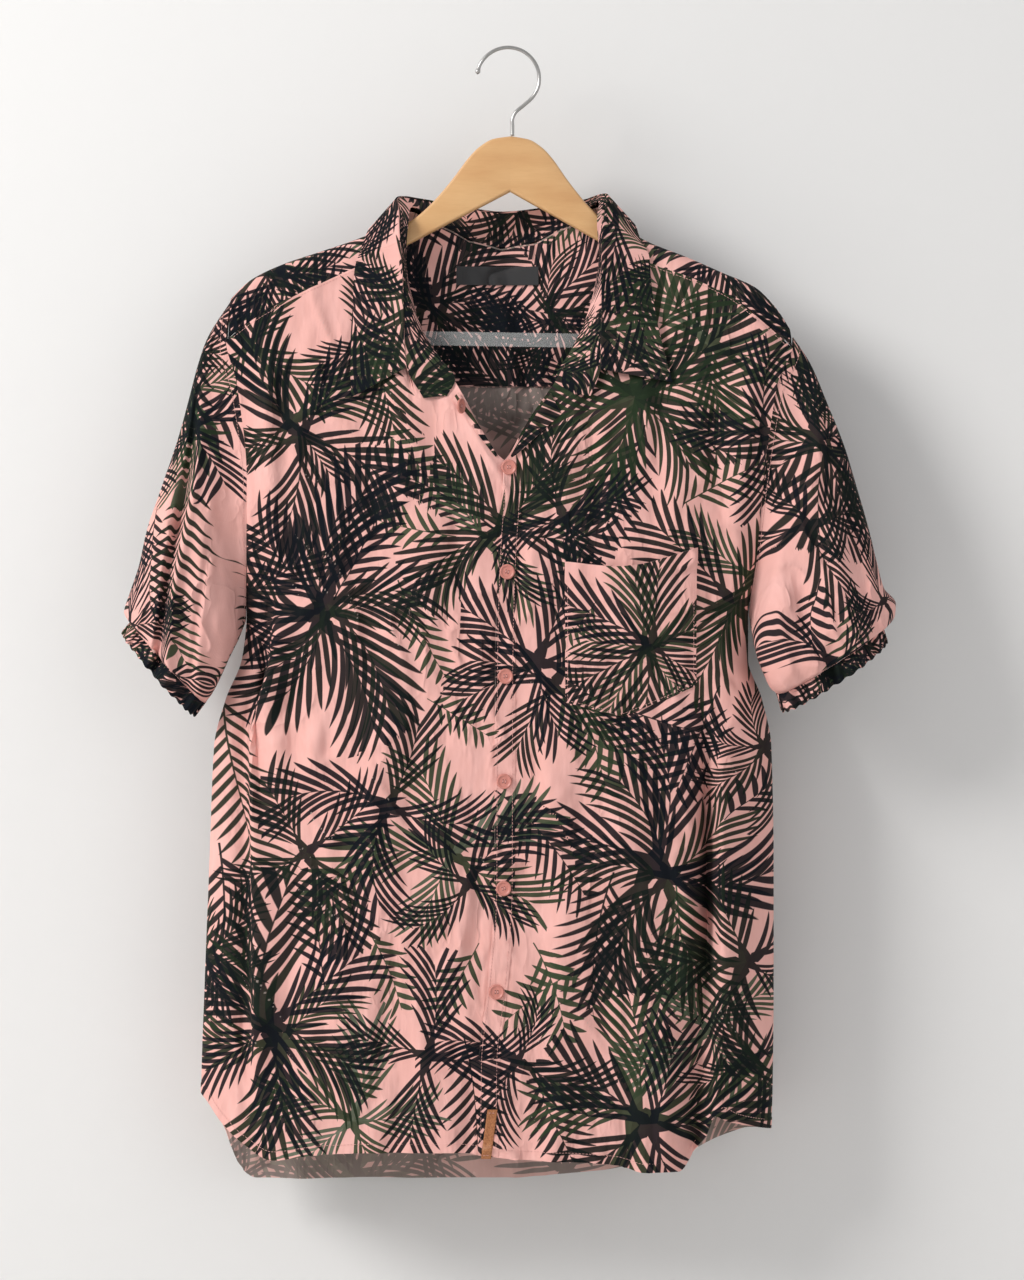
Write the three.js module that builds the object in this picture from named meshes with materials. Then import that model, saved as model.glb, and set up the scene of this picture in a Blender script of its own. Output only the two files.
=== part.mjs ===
// A buttoned short-sleeved shirt on a wooden clothes hanger. Millimetres, +Z up, the front faces -Y.
// The origin is where a rail would touch the inside of the hook's top. "Left" and "right" in a piece's
// name are the wearer's, so the wearer's right is on -X. Every cloth piece is a thin wall on a face
// worked out from the tables below. Its thickness is added outside that face on the body and the
// collar, and inside it on the sleeves and cuffs.
import * as THREE from "three";

const WALL = 1.2;
const SEAM_INSET = 0.25;
const CREST = 8.5;
const SHOULDER_FALL = 90;
const STITCH_GAP = 0.35;
const LYING = WALL + STITCH_GAP;

// Each table is a list of named columns and one row per section, seam point or fold.

const rowsOf = (names, rows) =>
  rows.map((row) => Object.fromEntries(names.map((name, i) => [name, row[i]])));

// Body sections down the shirt. Above the underarm, left and right are the armhole seams.
const TORSO = rowsOf(
  ["z", "left", "right", "front", "back"],
  [
    [-120, -243, 236, 9, 9],
    [-215, -243, 238, 18, 18],
    [-250, -246, 242, 22, 23],
    [-290, -236, 227, 27, 28],
    [-372, -227, 215, 35, 35],
    [-440, -227, 208, 40, 39],
    [-490, -228, 202, 43, 41],
    [-525, -232, 202, 44, 42],
    [-560, -246, 214, 46, 43],
    [-600, -256, 222, 47, 44],
    [-700, -260, 224, 48, 45],
    [-800, -264, 224, 49, 46],
    [-900, -267, 223, 50, 47],
    [-980, -262, 217, 51, 48],
  ],
);

// The line of the shoulders and, between x -86 and 72, the line that the cloth would keep without a neck.
const SHOULDER = rowsOf(
  ["x", "z"],
  [
    [-247, -222],
    [-243, -217],
    [-224, -199],
    [-197, -186],
    [-166, -175.5],
    [-135, -165],
    [-110, -154],
    [-86, -139.5],
    [-74, -132],
    [-50, -122],
    [-10, -117],
    [36, -121],
    [60, -128],
    [72, -135],
    [94, -151.5],
    [113, -165],
    [150, -180],
    [182, -194],
    [208, -205.5],
    [225, -222],
    [242, -248],
    [250, -262],
  ],
);

// Upper edges of the fronts: the open neck from the bottom of its V, then the yoke seam to the armhole.
const RIGHT_FRONT_TOP = rowsOf(
  ["x", "z"],
  [
    [-250, -254],
    [-244, -250],
    [-220, -232],
    [-182, -211],
    [-141, -192],
    [-98, -176],
    [-94, -186],
    [-87, -215],
    [-77, -246],
    [-62, -269],
    [-50, -286],
    [-7, -355],
    [25, -366],
  ],
);
const LEFT_FRONT_TOP = rowsOf(
  ["x", "z"],
  [
    [-25, -366],
    [-7, -355],
    [13, -322],
    [26, -303],
    [37, -287],
    [50, -262],
    [62, -238],
    [72, -205],
    [76, -185],
    [80, -171],
    [118, -185],
    [159, -200],
    [186, -213],
    [211, -233],
    [238, -256],
    [250, -266],
  ],
);

// Hems. The back hangs below the front, and both rise at the sides.
const FRONT_HEM = rowsOf(
  ["x", "z"],
  [
    [-275, -893],
    [-264, -901],
    [-249, -921],
    [-228, -941],
    [-205, -953],
    [-165, -947],
    [-118, -945],
    [-53, -945],
    [7, -951],
    [57, -953],
    [90, -956],
    [112, -962],
    [141, -962],
    [154, -948],
    [168, -932],
    [180, -915],
    [192, -921],
    [205, -925],
    [224, -929],
  ],
);
const BACK_HEM = rowsOf(
  ["x", "z"],
  [
    [-275, -893],
    [-264, -901],
    [-248, -933],
    [-236, -964],
    [-222, -975],
    [-100, -977],
    [6, -976],
    [60, -972],
    [110, -965],
    [150, -953],
    [187, -936],
    [205, -930],
    [224, -929],
  ],
);

// Edge of the buttoned lap down the front.
const LAP = rowsOf(
  ["z", "x"],
  [
    [-120, -8],
    [-355, -8],
    [-450, -13],
    [-540, -15],
    [-720, -15.5],
    [-808, -22],
    [-868, -28.5],
    [-980, -29.5],
  ],
);
const UNDERLAP = 26;
// The lap pushes the panel under it back, from one distance inside its edge to another.
const UNDER_STEP = { back: 2.4, from: 26, to: 4 };
const BAND = { width: 17, inset: 0.4, top: -359, rise: 21.6 };

// Main folds of the body. "at" is the share of the way from the lap (0) to the side edge (1), on the
// back from the middle. A positive depth stands out, a negative one sinks, and lean shifts it sideways.
const FOLDS = rowsOf(
  ["panel", "at", "atHem", "width", "depth", "lean", "top", "bottom"],
  [
    ["right_front", 0.86, 0.77, 0.035, 7, -9, -470, -880],
    ["right_front", 0.915, 0.84, 0.04, -9, 0, -480, -900],
    ["right_front", 0.9, 0.93, 0.05, 5, 0, -250, -420],
    ["right_front", 0.45, 0.5, 0.09, 3, 0, -560, -1100],
    ["right_front", 0.25, 0.3, 0.07, -3, 0, -330, -640],
    ["left_front", 0.77, 0.73, 0.04, -19, 0, -620, -1100],
    ["left_front", 0.86, 0.85, 0.05, 7, -8, -590, -1100],
    ["left_front", 0.9, 0.93, 0.05, 5, 0, -240, -400],
    ["left_front", 0.35, 0.3, 0.1, 3, 0, -600, -1100],
    ["left_front", 0.6, 0.62, 0.06, 4, 0, -850, -1100],
    ["back", -0.62, -0.66, 0.07, -10, 0, -370, -1100],
    ["back", -0.4, -0.42, 0.08, 6, 0, -420, -1100],
    ["back", 0.12, 0.1, 0.07, -7, 0, -370, -1100],
    ["back", 0.5, 0.55, 0.07, 7, 0, -380, -1100],
    ["back", 0.72, 0.74, 0.05, -9, 0, -470, -1100],
  ],
);
const FOLD_FADE = 60;
const FOLD_HEM_Z = -960;

// Heights between which a panel's upper edge and its hem are looked for.
const TOP_RANGE = [-400, -140];
const HEM_RANGE = [-1000, -880];

// Panel columns, as shares of the way from the lap or the middle to the side edge, closer at the folds.
const FRONT_COLUMNS = [
  0, 0.06, 0.13, 0.21, 0.3, 0.39, 0.48, 0.57, 0.65, 0.71, 0.75, 0.79, 0.83, 0.87, 0.91, 0.95, 0.98, 1,
];
const FRONT_ROWS = 17;
const BACK_ROWS = 14;

// Sleeves. The outer edge runs from the shoulder point to the cuff, the inner one from the underarm.
const SLEEVES = {
  right_sleeve: {
    side: -1,
    outer: rowsOf(
      ["x", "z"],
      [
        [-243, -217],
        [-263, -249],
        [-271, -272],
        [-279, -303],
        [-289, -339],
        [-305, -386],
        [-315, -416],
        [-321, -443],
        [-330, -470],
        [-334, -484],
        [-327, -491],
      ],
    ),
    inner: rowsOf(
      ["x", "z"],
      [
        [-228, -493],
        [-234, -507],
        [-242, -523],
        [-250, -541],
        [-258, -556],
        [-263, -562],
      ],
    ),
    cuffDrop: 4,
    cuffReach: [-14, -11],
  },
  left_sleeve: {
    side: 1,
    outer: rowsOf(
      ["x", "z"],
      [
        [242, -248],
        [257, -271],
        [270, -302],
        [285, -340],
        [296, -376],
        [306, -411],
        [313, -439],
        [320, -464],
        [330, -477],
        [329, -487],
        [318, -494],
      ],
    ),
    inner: rowsOf(
      ["x", "z"],
      [
        [202.3, -487],
        [205, -502],
        [209, -522],
        [215, -538],
        [221, -550],
        [226, -553],
      ],
    ),
    cuffDrop: 8,
    cuffReach: [7, -15],
  },
};
const SLEEVE_DEPTH = rowsOf(
  ["t", "half"],
  [
    [0, 20],
    [0.25, 31],
    [0.6, 37],
    [0.85, 41],
    [0.95, 37],
    [1, 29],
  ],
);
// Sleeve folds run from one place (t down the sleeve, c across it) to another. "face" is -1 in front.
const SLEEVE_FOLDS = rowsOf(
  ["sleeve", "face", "t0", "c0", "t1", "c1", "width", "depth"],
  [
    ["right_sleeve", -1, 0.12, 0.06, 0.95, 0.42, 0.045, -12],
    ["right_sleeve", -1, 0.2, 0.2, 1, 0.56, 0.06, 5],
    ["right_sleeve", 1, 0.3, 0.3, 1, 0.5, 0.08, -7],
    ["left_sleeve", -1, 0.3, 0.62, 1, 0.55, 0.07, -6],
    ["left_sleeve", -1, 0.25, 0.3, 0.95, 0.3, 0.08, 5],
    ["left_sleeve", 1, 0.3, 0.35, 1, 0.5, 0.08, -7],
  ],
);
const SLEEVE_ROWS = 11;
const SLEEVE_COLUMNS = 40;
const CUFF_GATHERS = 10;
const UNDERARM_CLEAR = 1.3;
// Sleeves swing forward, more at the underarm than along the outer edge.
const SLEEVE_FORWARD = { base: 16, top: 3 };
const GATHER_DEPTH = 1.6;
// A turned-up cuff reaches this share of cuffReach sideways, and its front half lies before halfY.
const CUFF = { spread: 0.62, halfY: -12 };

// Collar ribs from the wearer's right front, round the neck, to the left. Each goes from the neck seam
// to the fold and on to the leaf's edge. On the chest y is measured out from the front panel, and
// round the neck it is the place itself.
const COLLAR = rowsOf(
  ["chest", "seamX", "seamY", "seamZ", "foldX", "foldY", "foldZ", "edgeX", "edgeY", "edgeZ"],
  [
    [1, -49, 3, -285, -90, 9, -277, -138, 5, -301],
    [1, -61, 3, -268, -92, 10, -250, -139, 5, -262],
    [1, -76, 3, -245, -93, 11, -218, -137, 5, -220],
    [1, -86, 3, -214, -94, 12, -190, -135, 5, -188],
    [1, -91, 3, -182, -96, 12, -163, -131, 5, -176],
    [1, -89, 5.5, -150, -97, 11, -140, -127, 5, -163],
    [0, -86, 0, -137, -98, -1, -129, -121, -1, -152.5],
    [0, -68, 17, -147, -78, 25, -128, -98, 32, -168],
    [0, -38, 26, -163, -42, 34, -134, -50, 44, -185],
    [0, -10, 29, -170, -10, 38, -138, -10, 48, -190],
    [0, 20, 27, -165, 24, 35, -135, 32, 45, -186],
    [0, 52, 17, -150, 60, 25, -129, 78, 33, -170],
    [0, 73, -1, -132.5, 80, -1, -126, 104, -1, -149.5],
    [1, 72.5, 8, -149, 79, 11.5, -140, 110, 5, -164],
    [1, 74, 3, -182, 76, 12, -163, 117, 5, -178],
    [1, 70, 3, -207, 76, 12, -196, 119, 5, -201],
    [1, 61, 3, -238, 76, 11, -228, 123, 5, -230],
    [1, 49, 3, -262, 75, 10, -255, 129, 5, -257],
    [1, 37, 3, -284, 75, 9, -278, 137, 5, -288],
  ],
);
// Where the two ends of the stand reach below the leaf.
const STAND_ENDS = rowsOf(
  ["seamX", "seamZ", "foldX", "foldZ"],
  [
    [-56, -300, -76, -302],
    [42, -298, 67, -300],
  ],
);

// How far the ends of the stand lie off the chest at its seam and at its fold.
const STAND_LIFT = { seam: 3, fold: 5 };
// The leaf starts outside and above the fold, farther out behind the neck, where it also swells.
const LEAF_ROLL = { out: 2, outBehind: 1.6, up: 0.6, swell: 3 };

// The turned edges of the open neck: where they start and end along it, and how far off they lie.
const FACING_SPAN = { start: 0.06, end: 0.84, out: 2.8 };
const FACINGS = {
  right: { shift: -3, narrow: 2, wide: 8, farX: -0.75, farZ: -0.66, lift: 0.4, roll: 2 },
  left: { shift: 3, narrow: 2, wide: 20, farX: 0.45, farZ: -0.89, lift: 3.2, roll: 2 },
};

const POCKET = { left: 45, right: 157, top: -442, topRight: -430, sag: 9, base: -562, baseRight: -548 };
const POCKET_POINT = { share: 0.44, drop: 18 };
const POCKET_GAPE = 5;

const BUTTONS = rowsOf(
  ["z", "x"],
  [
    [-361, -3],
    [-450.5, -4.5],
    [-539.5, -6],
    [-629, -7],
    [-720, -7.5],
    [-808, -13.5],
  ],
);
const BUTTON = {
  radius: 6.5,
  height: 2.6,
  rim: 1.3,
  dish: 0.8,
  eye: 1.9,
  eyeDepth: 1.1,
  shank: 0.25,
  sides: 14,
};
// The top button lies loose on the open stand, almost edge on.
const COLLAR_BUTTON = { x: -45, z: -309, out: 10, turn: 62 };

const LABEL = { x: -13, z: -193.5, width: 71, height: 16, thick: 0.7, off: 0.3 };
const INNER_YOKE = {
  thick: 1,
  gap: 0.9,
  left: -226,
  right: 221,
  start: 30,
  seamClear: 1.5,
  sideClear: 8,
  footClear: 1,
};
const TAB = { topX: -17, topZ: -908, baseX: -22.5, baseZ: -950, width: 8.5, thick: 1.4 };

// Hanger, on its own middle line. It hangs a little down on the +X side.
const HANGER = { thick: 10.6, tilt: THREE.MathUtils.degToRad(0.9), bevel: 2.4 };
const HANGER_TOP = rowsOf(
  ["x", "z"],
  [
    [0, -75],
    [15, -77.5],
    [27, -84.5],
    [37, -95],
    [47, -109],
    [58, -123],
    [70, -136.5],
    [84, -148.5],
    [110, -162.3],
    [150, -179.5],
    [190, -196],
    [207, -205],
  ],
);
const HANGER_BASE = rowsOf(
  ["x", "z"],
  [
    [208, -224],
    [190, -218],
    [150, -201],
    [95, -174],
    [40, -144.5],
    [0, -123],
  ],
);
// The arms' rounded ends: the tip's x, and the heights of its upper corner, middle and lower corner.
const HANGER_END = { x: 214, upper: -209, middle: -215, lower: -223 };
const HOOK = {
  wire: 1.6,
  radius: 26.9,
  x: -3.8,
  z: -25.3,
  tipAngle: 172,
  endAngle: -18,
  ball: 2.3,
  sides: 8,
};
// The hook's neck, from its circle down to just above the wood.
const HOOK_NECK = rowsOf(
  ["x", "z"],
  [
    [17.5, -41],
    [10, -48],
    [3, -54],
    [0, -60],
    [0, -67],
    [0, -74.65],
  ],
);
const BAR = { reach: 184, z: -250, height: 12, thick: 4, post: 9, postTop: -216.3 };

// Curves through the tables

const clamp = THREE.MathUtils.clamp;
const lerp = THREE.MathUtils.lerp;

// 0 at one place and 1 at the other, whichever is the greater, with a soft change between them.
const smooth = (from, to, at) => THREE.MathUtils.smoothstep((at - from) / (to - from), 0, 1);

// Value of a column where the key column reaches "at", on a smooth curve that never overshoots.
function along(rows, key, value, at) {
  const up = rows[rows.length - 1][key] > rows[0][key];
  const t = rows.map((row) => (up ? row[key] : -row[key]));
  const x = clamp(up ? at : -at, t[0], t[t.length - 1]);
  let i = 0;
  while (i < t.length - 2 && x > t[i + 1]) i += 1;
  const slope = (k) => (rows[k + 1][value] - rows[k][value]) / (t[k + 1] - t[k]);
  const tangent = (k) => {
    if (k === 0) return slope(0);
    if (k === t.length - 1) return slope(k - 1);
    const before = slope(k - 1);
    const after = slope(k);
    return before * after <= 0 ? 0 : (2 * before * after) / (before + after);
  };
  const h = t[i + 1] - t[i];
  const s = (x - t[i]) / h;
  return (
    (1 + 2 * s) * (1 - s) ** 2 * rows[i][value] +
    s * (1 - s) ** 2 * h * tangent(i) +
    s * s * (3 - 2 * s) * rows[i + 1][value] +
    s * s * (s - 1) * h * tangent(i + 1)
  );
}

// The point at a share of the whole length of a table's x, z line.
function onLine(rows, share) {
  const lengths = [0];
  for (let i = 1; i < rows.length; i += 1)
    lengths.push(lengths[i - 1] + Math.hypot(rows[i].x - rows[i - 1].x, rows[i].z - rows[i - 1].z));
  const marked = rows.map((row, i) => ({ ...row, s: lengths[i] }));
  const at = share * lengths[lengths.length - 1];
  return { x: along(marked, "s", "x", at), z: along(marked, "s", "z", at) };
}

// The height at which a panel's column meets an edge that is given by its x.
function meet(edge, column, [low, high]) {
  let [below, above] = [low, high];
  for (let i = 0; i < 30; i += 1) {
    const middle = (below + above) / 2;
    if (along(edge, "x", "z", column(middle)) > middle) below = middle;
    else above = middle;
  }
  return (below + above) / 2;
}

// The body's two layers

const ARMHOLE = { left: { top: -248, base: -487 }, right: { top: -217, base: -493 } };
// The back stands out under the collar, where the neck is held open.
const NAPE = { out: 16, x: -10, z: -165, wide: 70, high: 80 };
const shoulderZ = (x) => along(SHOULDER, "x", "z", x);
const sideX = (sign, z) => along(TORSO, "z", sign < 0 ? "left" : "right", z);

// 1 where front and back are a sleeve's width apart at the armhole, 0 from the underarm down.
function armholeOpen(sign, z) {
  const { top, base } = sign < 0 ? ARMHOLE.right : ARMHOLE.left;
  const t = clamp((top - z) / (top - base), 0, 1);
  return 1 - t ** 3;
}

// How far the front (-1) or back (+1) layer lies from the hanger's plane.
function layerY(face, x, z) {
  const drop = Math.max(shoulderZ(x) - z, 0);
  const full = along(TORSO, "z", face < 0 ? "front" : "back", z);
  const crest = CREST * Math.sqrt(1 - (1 - Math.min(drop / CREST, 1)) ** 2);
  const nape = Math.exp(-(((x - NAPE.x) / NAPE.wide) ** 2) - ((z - NAPE.z) / NAPE.high) ** 2);
  const neck = face > 0 ? NAPE.out * nape : 0;
  const depth = crest + (full - CREST) * (1 - Math.exp(-drop / SHOULDER_FALL)) + neck;
  const left = sideX(-1, z);
  const right = sideX(1, z);
  const across = clamp((2 * x - left - right) / (right - left), -1, 1);
  const open = armholeOpen(Math.sign(across), z);
  return face * depth * (open + (1 - open) * Math.sqrt(1 - Math.abs(across) ** 3));
}

function foldAt(panel, share, z) {
  const shift = { out: 0, x: 0 };
  FOLDS.filter((fold) => fold.panel === panel).forEach((fold) => {
    const centre = lerp(fold.at, fold.atHem, clamp((fold.top - z) / (fold.top - FOLD_HEM_Z), 0, 1));
    const bell = Math.exp(-(((share - centre) / fold.width) ** 2));
    const reach = smooth(fold.top + FOLD_FADE, fold.top - FOLD_FADE, z);
    const kept = reach * smooth(fold.bottom - FOLD_FADE, fold.bottom + FOLD_FADE, z);
    shift.out += fold.depth * bell * kept;
    shift.x += fold.lean * bell * kept;
  });
  return shift;
}

// Solids from grids of points

// Normals of a grid of points. wrap joins its last column to its first.
function gridNormals(grid, wrap) {
  const rows = grid.length;
  const cols = grid[0].length;
  return grid.map((row, i) =>
    row.map((_, j) => {
      const right = grid[i][wrap ? (j + 1) % cols : Math.min(j + 1, cols - 1)];
      const left = grid[i][wrap ? (j - 1 + cols) % cols : Math.max(j - 1, 0)];
      const down = grid[Math.min(i + 1, rows - 1)][j];
      const up = grid[Math.max(i - 1, 0)][j];
      const across = new THREE.Vector3().subVectors(right, left);
      return across.cross(new THREE.Vector3().subVectors(down, up)).normalize();
    }),
  );
}

// Moves a grid's free edges in, so that two panels keep a gap at their seam.
function inset(grid, wrap, amount = SEAM_INSET) {
  const pull = (point, toward) => {
    const step = new THREE.Vector3().subVectors(toward, point);
    point.add(step.setLength(Math.min(amount, step.length() / 3)));
  };
  const last = grid.length - 1;
  grid[0].forEach((point, j) => pull(point, grid[1][j]));
  grid[last].forEach((point, j) => pull(point, grid[last - 1][j]));
  if (!wrap)
    grid.forEach((row) => {
      pull(row[0], row[1]);
      pull(row[row.length - 1], row[row.length - 2]);
    });
  return grid;
}

// A closed wall on a grid. Side -1 adds its thickness along the grid's own normal, side 1 against it.
function wall(grid, { side = 1, thick = WALL, wrap = false } = {}) {
  const normals = gridNormals(grid, wrap);
  const rows = grid.length;
  const cols = grid[0].length;
  const positions = [];
  const outer = (i, j) => i * cols + (j % cols);
  const inner = (i, j) => rows * cols + outer(i, j);
  grid.forEach((row) => row.forEach((p) => positions.push(p.x, p.y, p.z)));
  grid.forEach((row, i) =>
    row.forEach((p, j) => {
      const n = normals[i][j];
      positions.push(p.x - side * thick * n.x, p.y - side * thick * n.y, p.z - side * thick * n.z);
    }),
  );
  const index = [];
  const quad = (a, b, c, d) => (side > 0 ? index.push(a, b, c, a, c, d) : index.push(a, c, b, a, d, c));
  const lastCol = wrap ? cols : cols - 1;
  for (let i = 0; i < rows - 1; i += 1)
    for (let j = 0; j < lastCol; j += 1) {
      quad(outer(i, j), outer(i, j + 1), outer(i + 1, j + 1), outer(i + 1, j));
      quad(inner(i, j), inner(i + 1, j), inner(i + 1, j + 1), inner(i, j + 1));
    }
  for (let j = 0; j < lastCol; j += 1) {
    quad(outer(0, j + 1), outer(0, j), inner(0, j), inner(0, j + 1));
    quad(outer(rows - 1, j), outer(rows - 1, j + 1), inner(rows - 1, j + 1), inner(rows - 1, j));
  }
  if (!wrap)
    for (let i = 0; i < rows - 1; i += 1) {
      quad(outer(i, 0), outer(i + 1, 0), inner(i + 1, 0), inner(i, 0));
      quad(outer(i + 1, cols - 1), outer(i, cols - 1), inner(i, cols - 1), inner(i + 1, cols - 1));
    }
  const geometry = new THREE.BufferGeometry();
  geometry.setAttribute("position", new THREE.Float32BufferAttribute(positions, 3));
  geometry.setIndex(index);
  geometry.computeVertexNormals();
  return geometry;
}

// A grid from a function of two shares, down then across.
const gridOf = (downs, acrosses, point) => downs.map((v) => acrosses.map((u) => point(u, v)));
const shares = (count) => Array.from({ length: count + 1 }, (_, i) => i / count);

// Fronts and back

const frontPanels = {
  right_front: { sign: -1, start: (z) => along(LAP, "z", "x", z) + UNDERLAP, top: RIGHT_FRONT_TOP },
  left_front: { sign: 1, start: (z) => along(LAP, "z", "x", z), top: LEFT_FRONT_TOP },
};

// A point of the face on which a front panel's wall is raised, moved out by "out". The share runs from
// the lap to the side edge.
function frontPoint(name, share, z, out = 0) {
  const panel = frontPanels[name];
  const start = panel.start(z);
  const x = lerp(start, sideX(panel.sign, z), share);
  const fold = foldAt(name, share, z);
  const lap = along(LAP, "z", "x", z);
  const pushed = UNDER_STEP.back * smooth(lap - UNDER_STEP.from, lap - UNDER_STEP.to, x);
  const under = name === "right_front" ? pushed : 0;
  const edge = 1 - smooth(0.93, 1, share);
  return new THREE.Vector3(x + fold.x, layerY(-1, x, z) - fold.out * edge + under - out, z);
}

// The same face at a given x, for what lies on the panel.
function onFront(x, z, out) {
  const name = x < along(LAP, "z", "x", z) ? "right_front" : "left_front";
  const panel = frontPanels[name];
  const start = panel.start(z);
  const share = clamp((x - start) / (sideX(panel.sign, z) - start), 0, 1);
  const point = frontPoint(name, share, z, out);
  point.x = x;
  return point;
}

function frontPanel(name) {
  const panel = frontPanels[name];
  const grid = gridOf(shares(FRONT_ROWS).map((v) => v ** 1.5), FRONT_COLUMNS, (share, v) => {
    const column = (z) => lerp(panel.start(z), sideX(panel.sign, z), share);
    const top = meet(panel.top, column, TOP_RANGE);
    const hem = meet(FRONT_HEM, column, HEM_RANGE);
    return frontPoint(name, share, lerp(top, hem, v));
  });
  return wall(inset(grid), { side: panel.sign });
}

function backPanel() {
  const acrosses = [...FRONT_COLUMNS.slice(1).reverse().map((a) => -a), ...FRONT_COLUMNS].filter(
    (a, i) => i % 2 === 0 || Math.abs(a) > 0.9,
  );
  const grid = gridOf(shares(BACK_ROWS), acrosses, (share, v) => {
    const column = (z) => lerp(sideX(-1, z), sideX(1, z), (share + 1) / 2);
    const hem = meet(BACK_HEM, column, HEM_RANGE);
    const z = lerp(YOKE_SEAM_Z, hem, v);
    const fold = foldAt("back", share, z);
    const edge = 1 - smooth(0.85, 1, Math.abs(share));
    return new THREE.Vector3(column(z), layerY(1, column(z), z) + fold.out * edge, z);
  });
  return wall(inset(grid, false, 0.35), { side: -1 });
}

// Yoke

const YOKE_SEAM_Z = -290;
const YOKE_ROLL = 8;
// The yoke's neck edge keeps this far outside the stand's seam at the sides of the neck.
const YOKE_CLEAR = 2.8;
const CREST_ARC = (CREST * Math.PI) / 2;
// Places along the front seams, and the height above which a collar rib ends on the yoke.
const YOKE_SEAM_X = {
  right: [-244, -225, -200, -170, -141, -118, -100],
  left: [82, 100, 118, 145, 172, 195, 215, 240],
};
const YOKE_RIBS_Z = -180;

// A point at a distance over the shoulder line: negative in front of the hanger, positive behind it.
function overShoulder(x, s, out = 0) {
  const length = Math.abs(s);
  const face = s < 0 ? -1 : 1;
  const drop = length < CREST_ARC ? CREST * (1 - Math.cos(length / CREST)) : CREST + length - CREST_ARC;
  const z = shoulderZ(x) - drop;
  return new THREE.Vector3(x, layerY(face, x, z) + face * out, z);
}

// The distance over the shoulder at which a layer reaches a height.
function distanceTo(face, x, z) {
  const drop = Math.max(shoulderZ(x) - z, 0);
  return face * (drop < CREST ? CREST * Math.acos(1 - drop / CREST) : CREST_ARC + drop - CREST);
}

const NECK_GAP = 1.8;

// A point of the neck seam behind or over the hanger.
const neckPoint = (x, z) => overShoulder(x, distanceTo(1, x, z));

// The yoke's upper edge: front seam, round the neck, front seam.
function yokeEdge() {
  const seam = (rows, xs) => xs.map((x) => ({ x, s: distanceTo(-1, x, along(rows, "x", "z", x)) }));
  const neck = COLLAR.filter((rib) => rib.seamZ > YOKE_RIBS_Z).map((rib) => ({
    x: rib.seamX + (Math.abs(rib.seamX) > 60 ? YOKE_CLEAR * Math.sign(rib.seamX) : 0),
    s: distanceTo(rib.chest ? -1 : 1, rib.seamX, rib.seamZ),
  }));
  return [
    ...seam(RIGHT_FRONT_TOP, YOKE_SEAM_X.right),
    ...neck,
    ...seam(LEFT_FRONT_TOP, YOKE_SEAM_X.left),
  ];
}

function yokePanel() {
  const edge = yokeEdge();
  const stops = [-CREST_ARC, -CREST_ARC / 2, 0, CREST_ARC / 2, CREST_ARC];
  const grid = [];
  const steps = 4;
  for (let i = 0; i <= stops.length + steps; i += 1)
    grid.push(
      edge.map((start, j) => {
        const first = start.s;
        const turn = Math.max(CREST_ARC, first + YOKE_ROLL);
        const foot = lerp(sideX(-1, YOKE_SEAM_Z), sideX(1, YOKE_SEAM_Z), j / (edge.length - 1));
        const end = distanceTo(1, foot, YOKE_SEAM_Z);
        let s = first;
        if (i > 0 && i <= stops.length)
          s = first < -CREST_ARC ? stops[i - 1] : lerp(first, turn, i / stops.length);
        if (i > stops.length) s = lerp(turn, end, (i - stops.length) / steps);
        const share = (s - first) / (end - first);
        return overShoulder(lerp(start.x, foot, share), s);
      }),
    );
  return wall(inset(grid, false, 0.8), { side: -1 });
}

function innerYokePoint(u, v, out) {
  const edge = yokeEdge();
  const at = u * (edge.length - 1);
  const i = Math.min(Math.floor(at), edge.length - 2);
  const { left, right, start: first, seamClear, sideClear, footClear } = INNER_YOKE;
  const x = clamp(lerp(edge[i].x, edge[i + 1].x, at - i), left, right);
  const start = Math.max(lerp(edge[i].s, edge[i + 1].s, at - i) + seamClear, first);
  const foot = lerp(sideX(-1, YOKE_SEAM_Z) + sideClear, sideX(1, YOKE_SEAM_Z) - sideClear, u);
  const end = distanceTo(1, foot, YOKE_SEAM_Z + footClear);
  return overShoulder(lerp(x, foot, v), lerp(start, end, v), out);
}

function innerYoke() {
  const grid = gridOf(shares(5), shares(22), (u, v) => innerYokePoint(u, v, -WALL - INNER_YOKE.gap));
  return wall(grid, { side: -1, thick: INNER_YOKE.thick });
}

function neckLabel() {
  const grid = gridOf(shares(2), shares(8), (u, v) => {
    const x = LABEL.x + (u - 0.5) * LABEL.width;
    const z = LABEL.z + (0.5 - v) * LABEL.height;
    const depth = WALL + INNER_YOKE.gap + INNER_YOKE.thick + LABEL.off;
    return new THREE.Vector3(x, layerY(1, x, z) - depth, z);
  });
  return wall(grid, { side: 1, thick: LABEL.thick });
}

// Sleeves and cuffs

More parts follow.
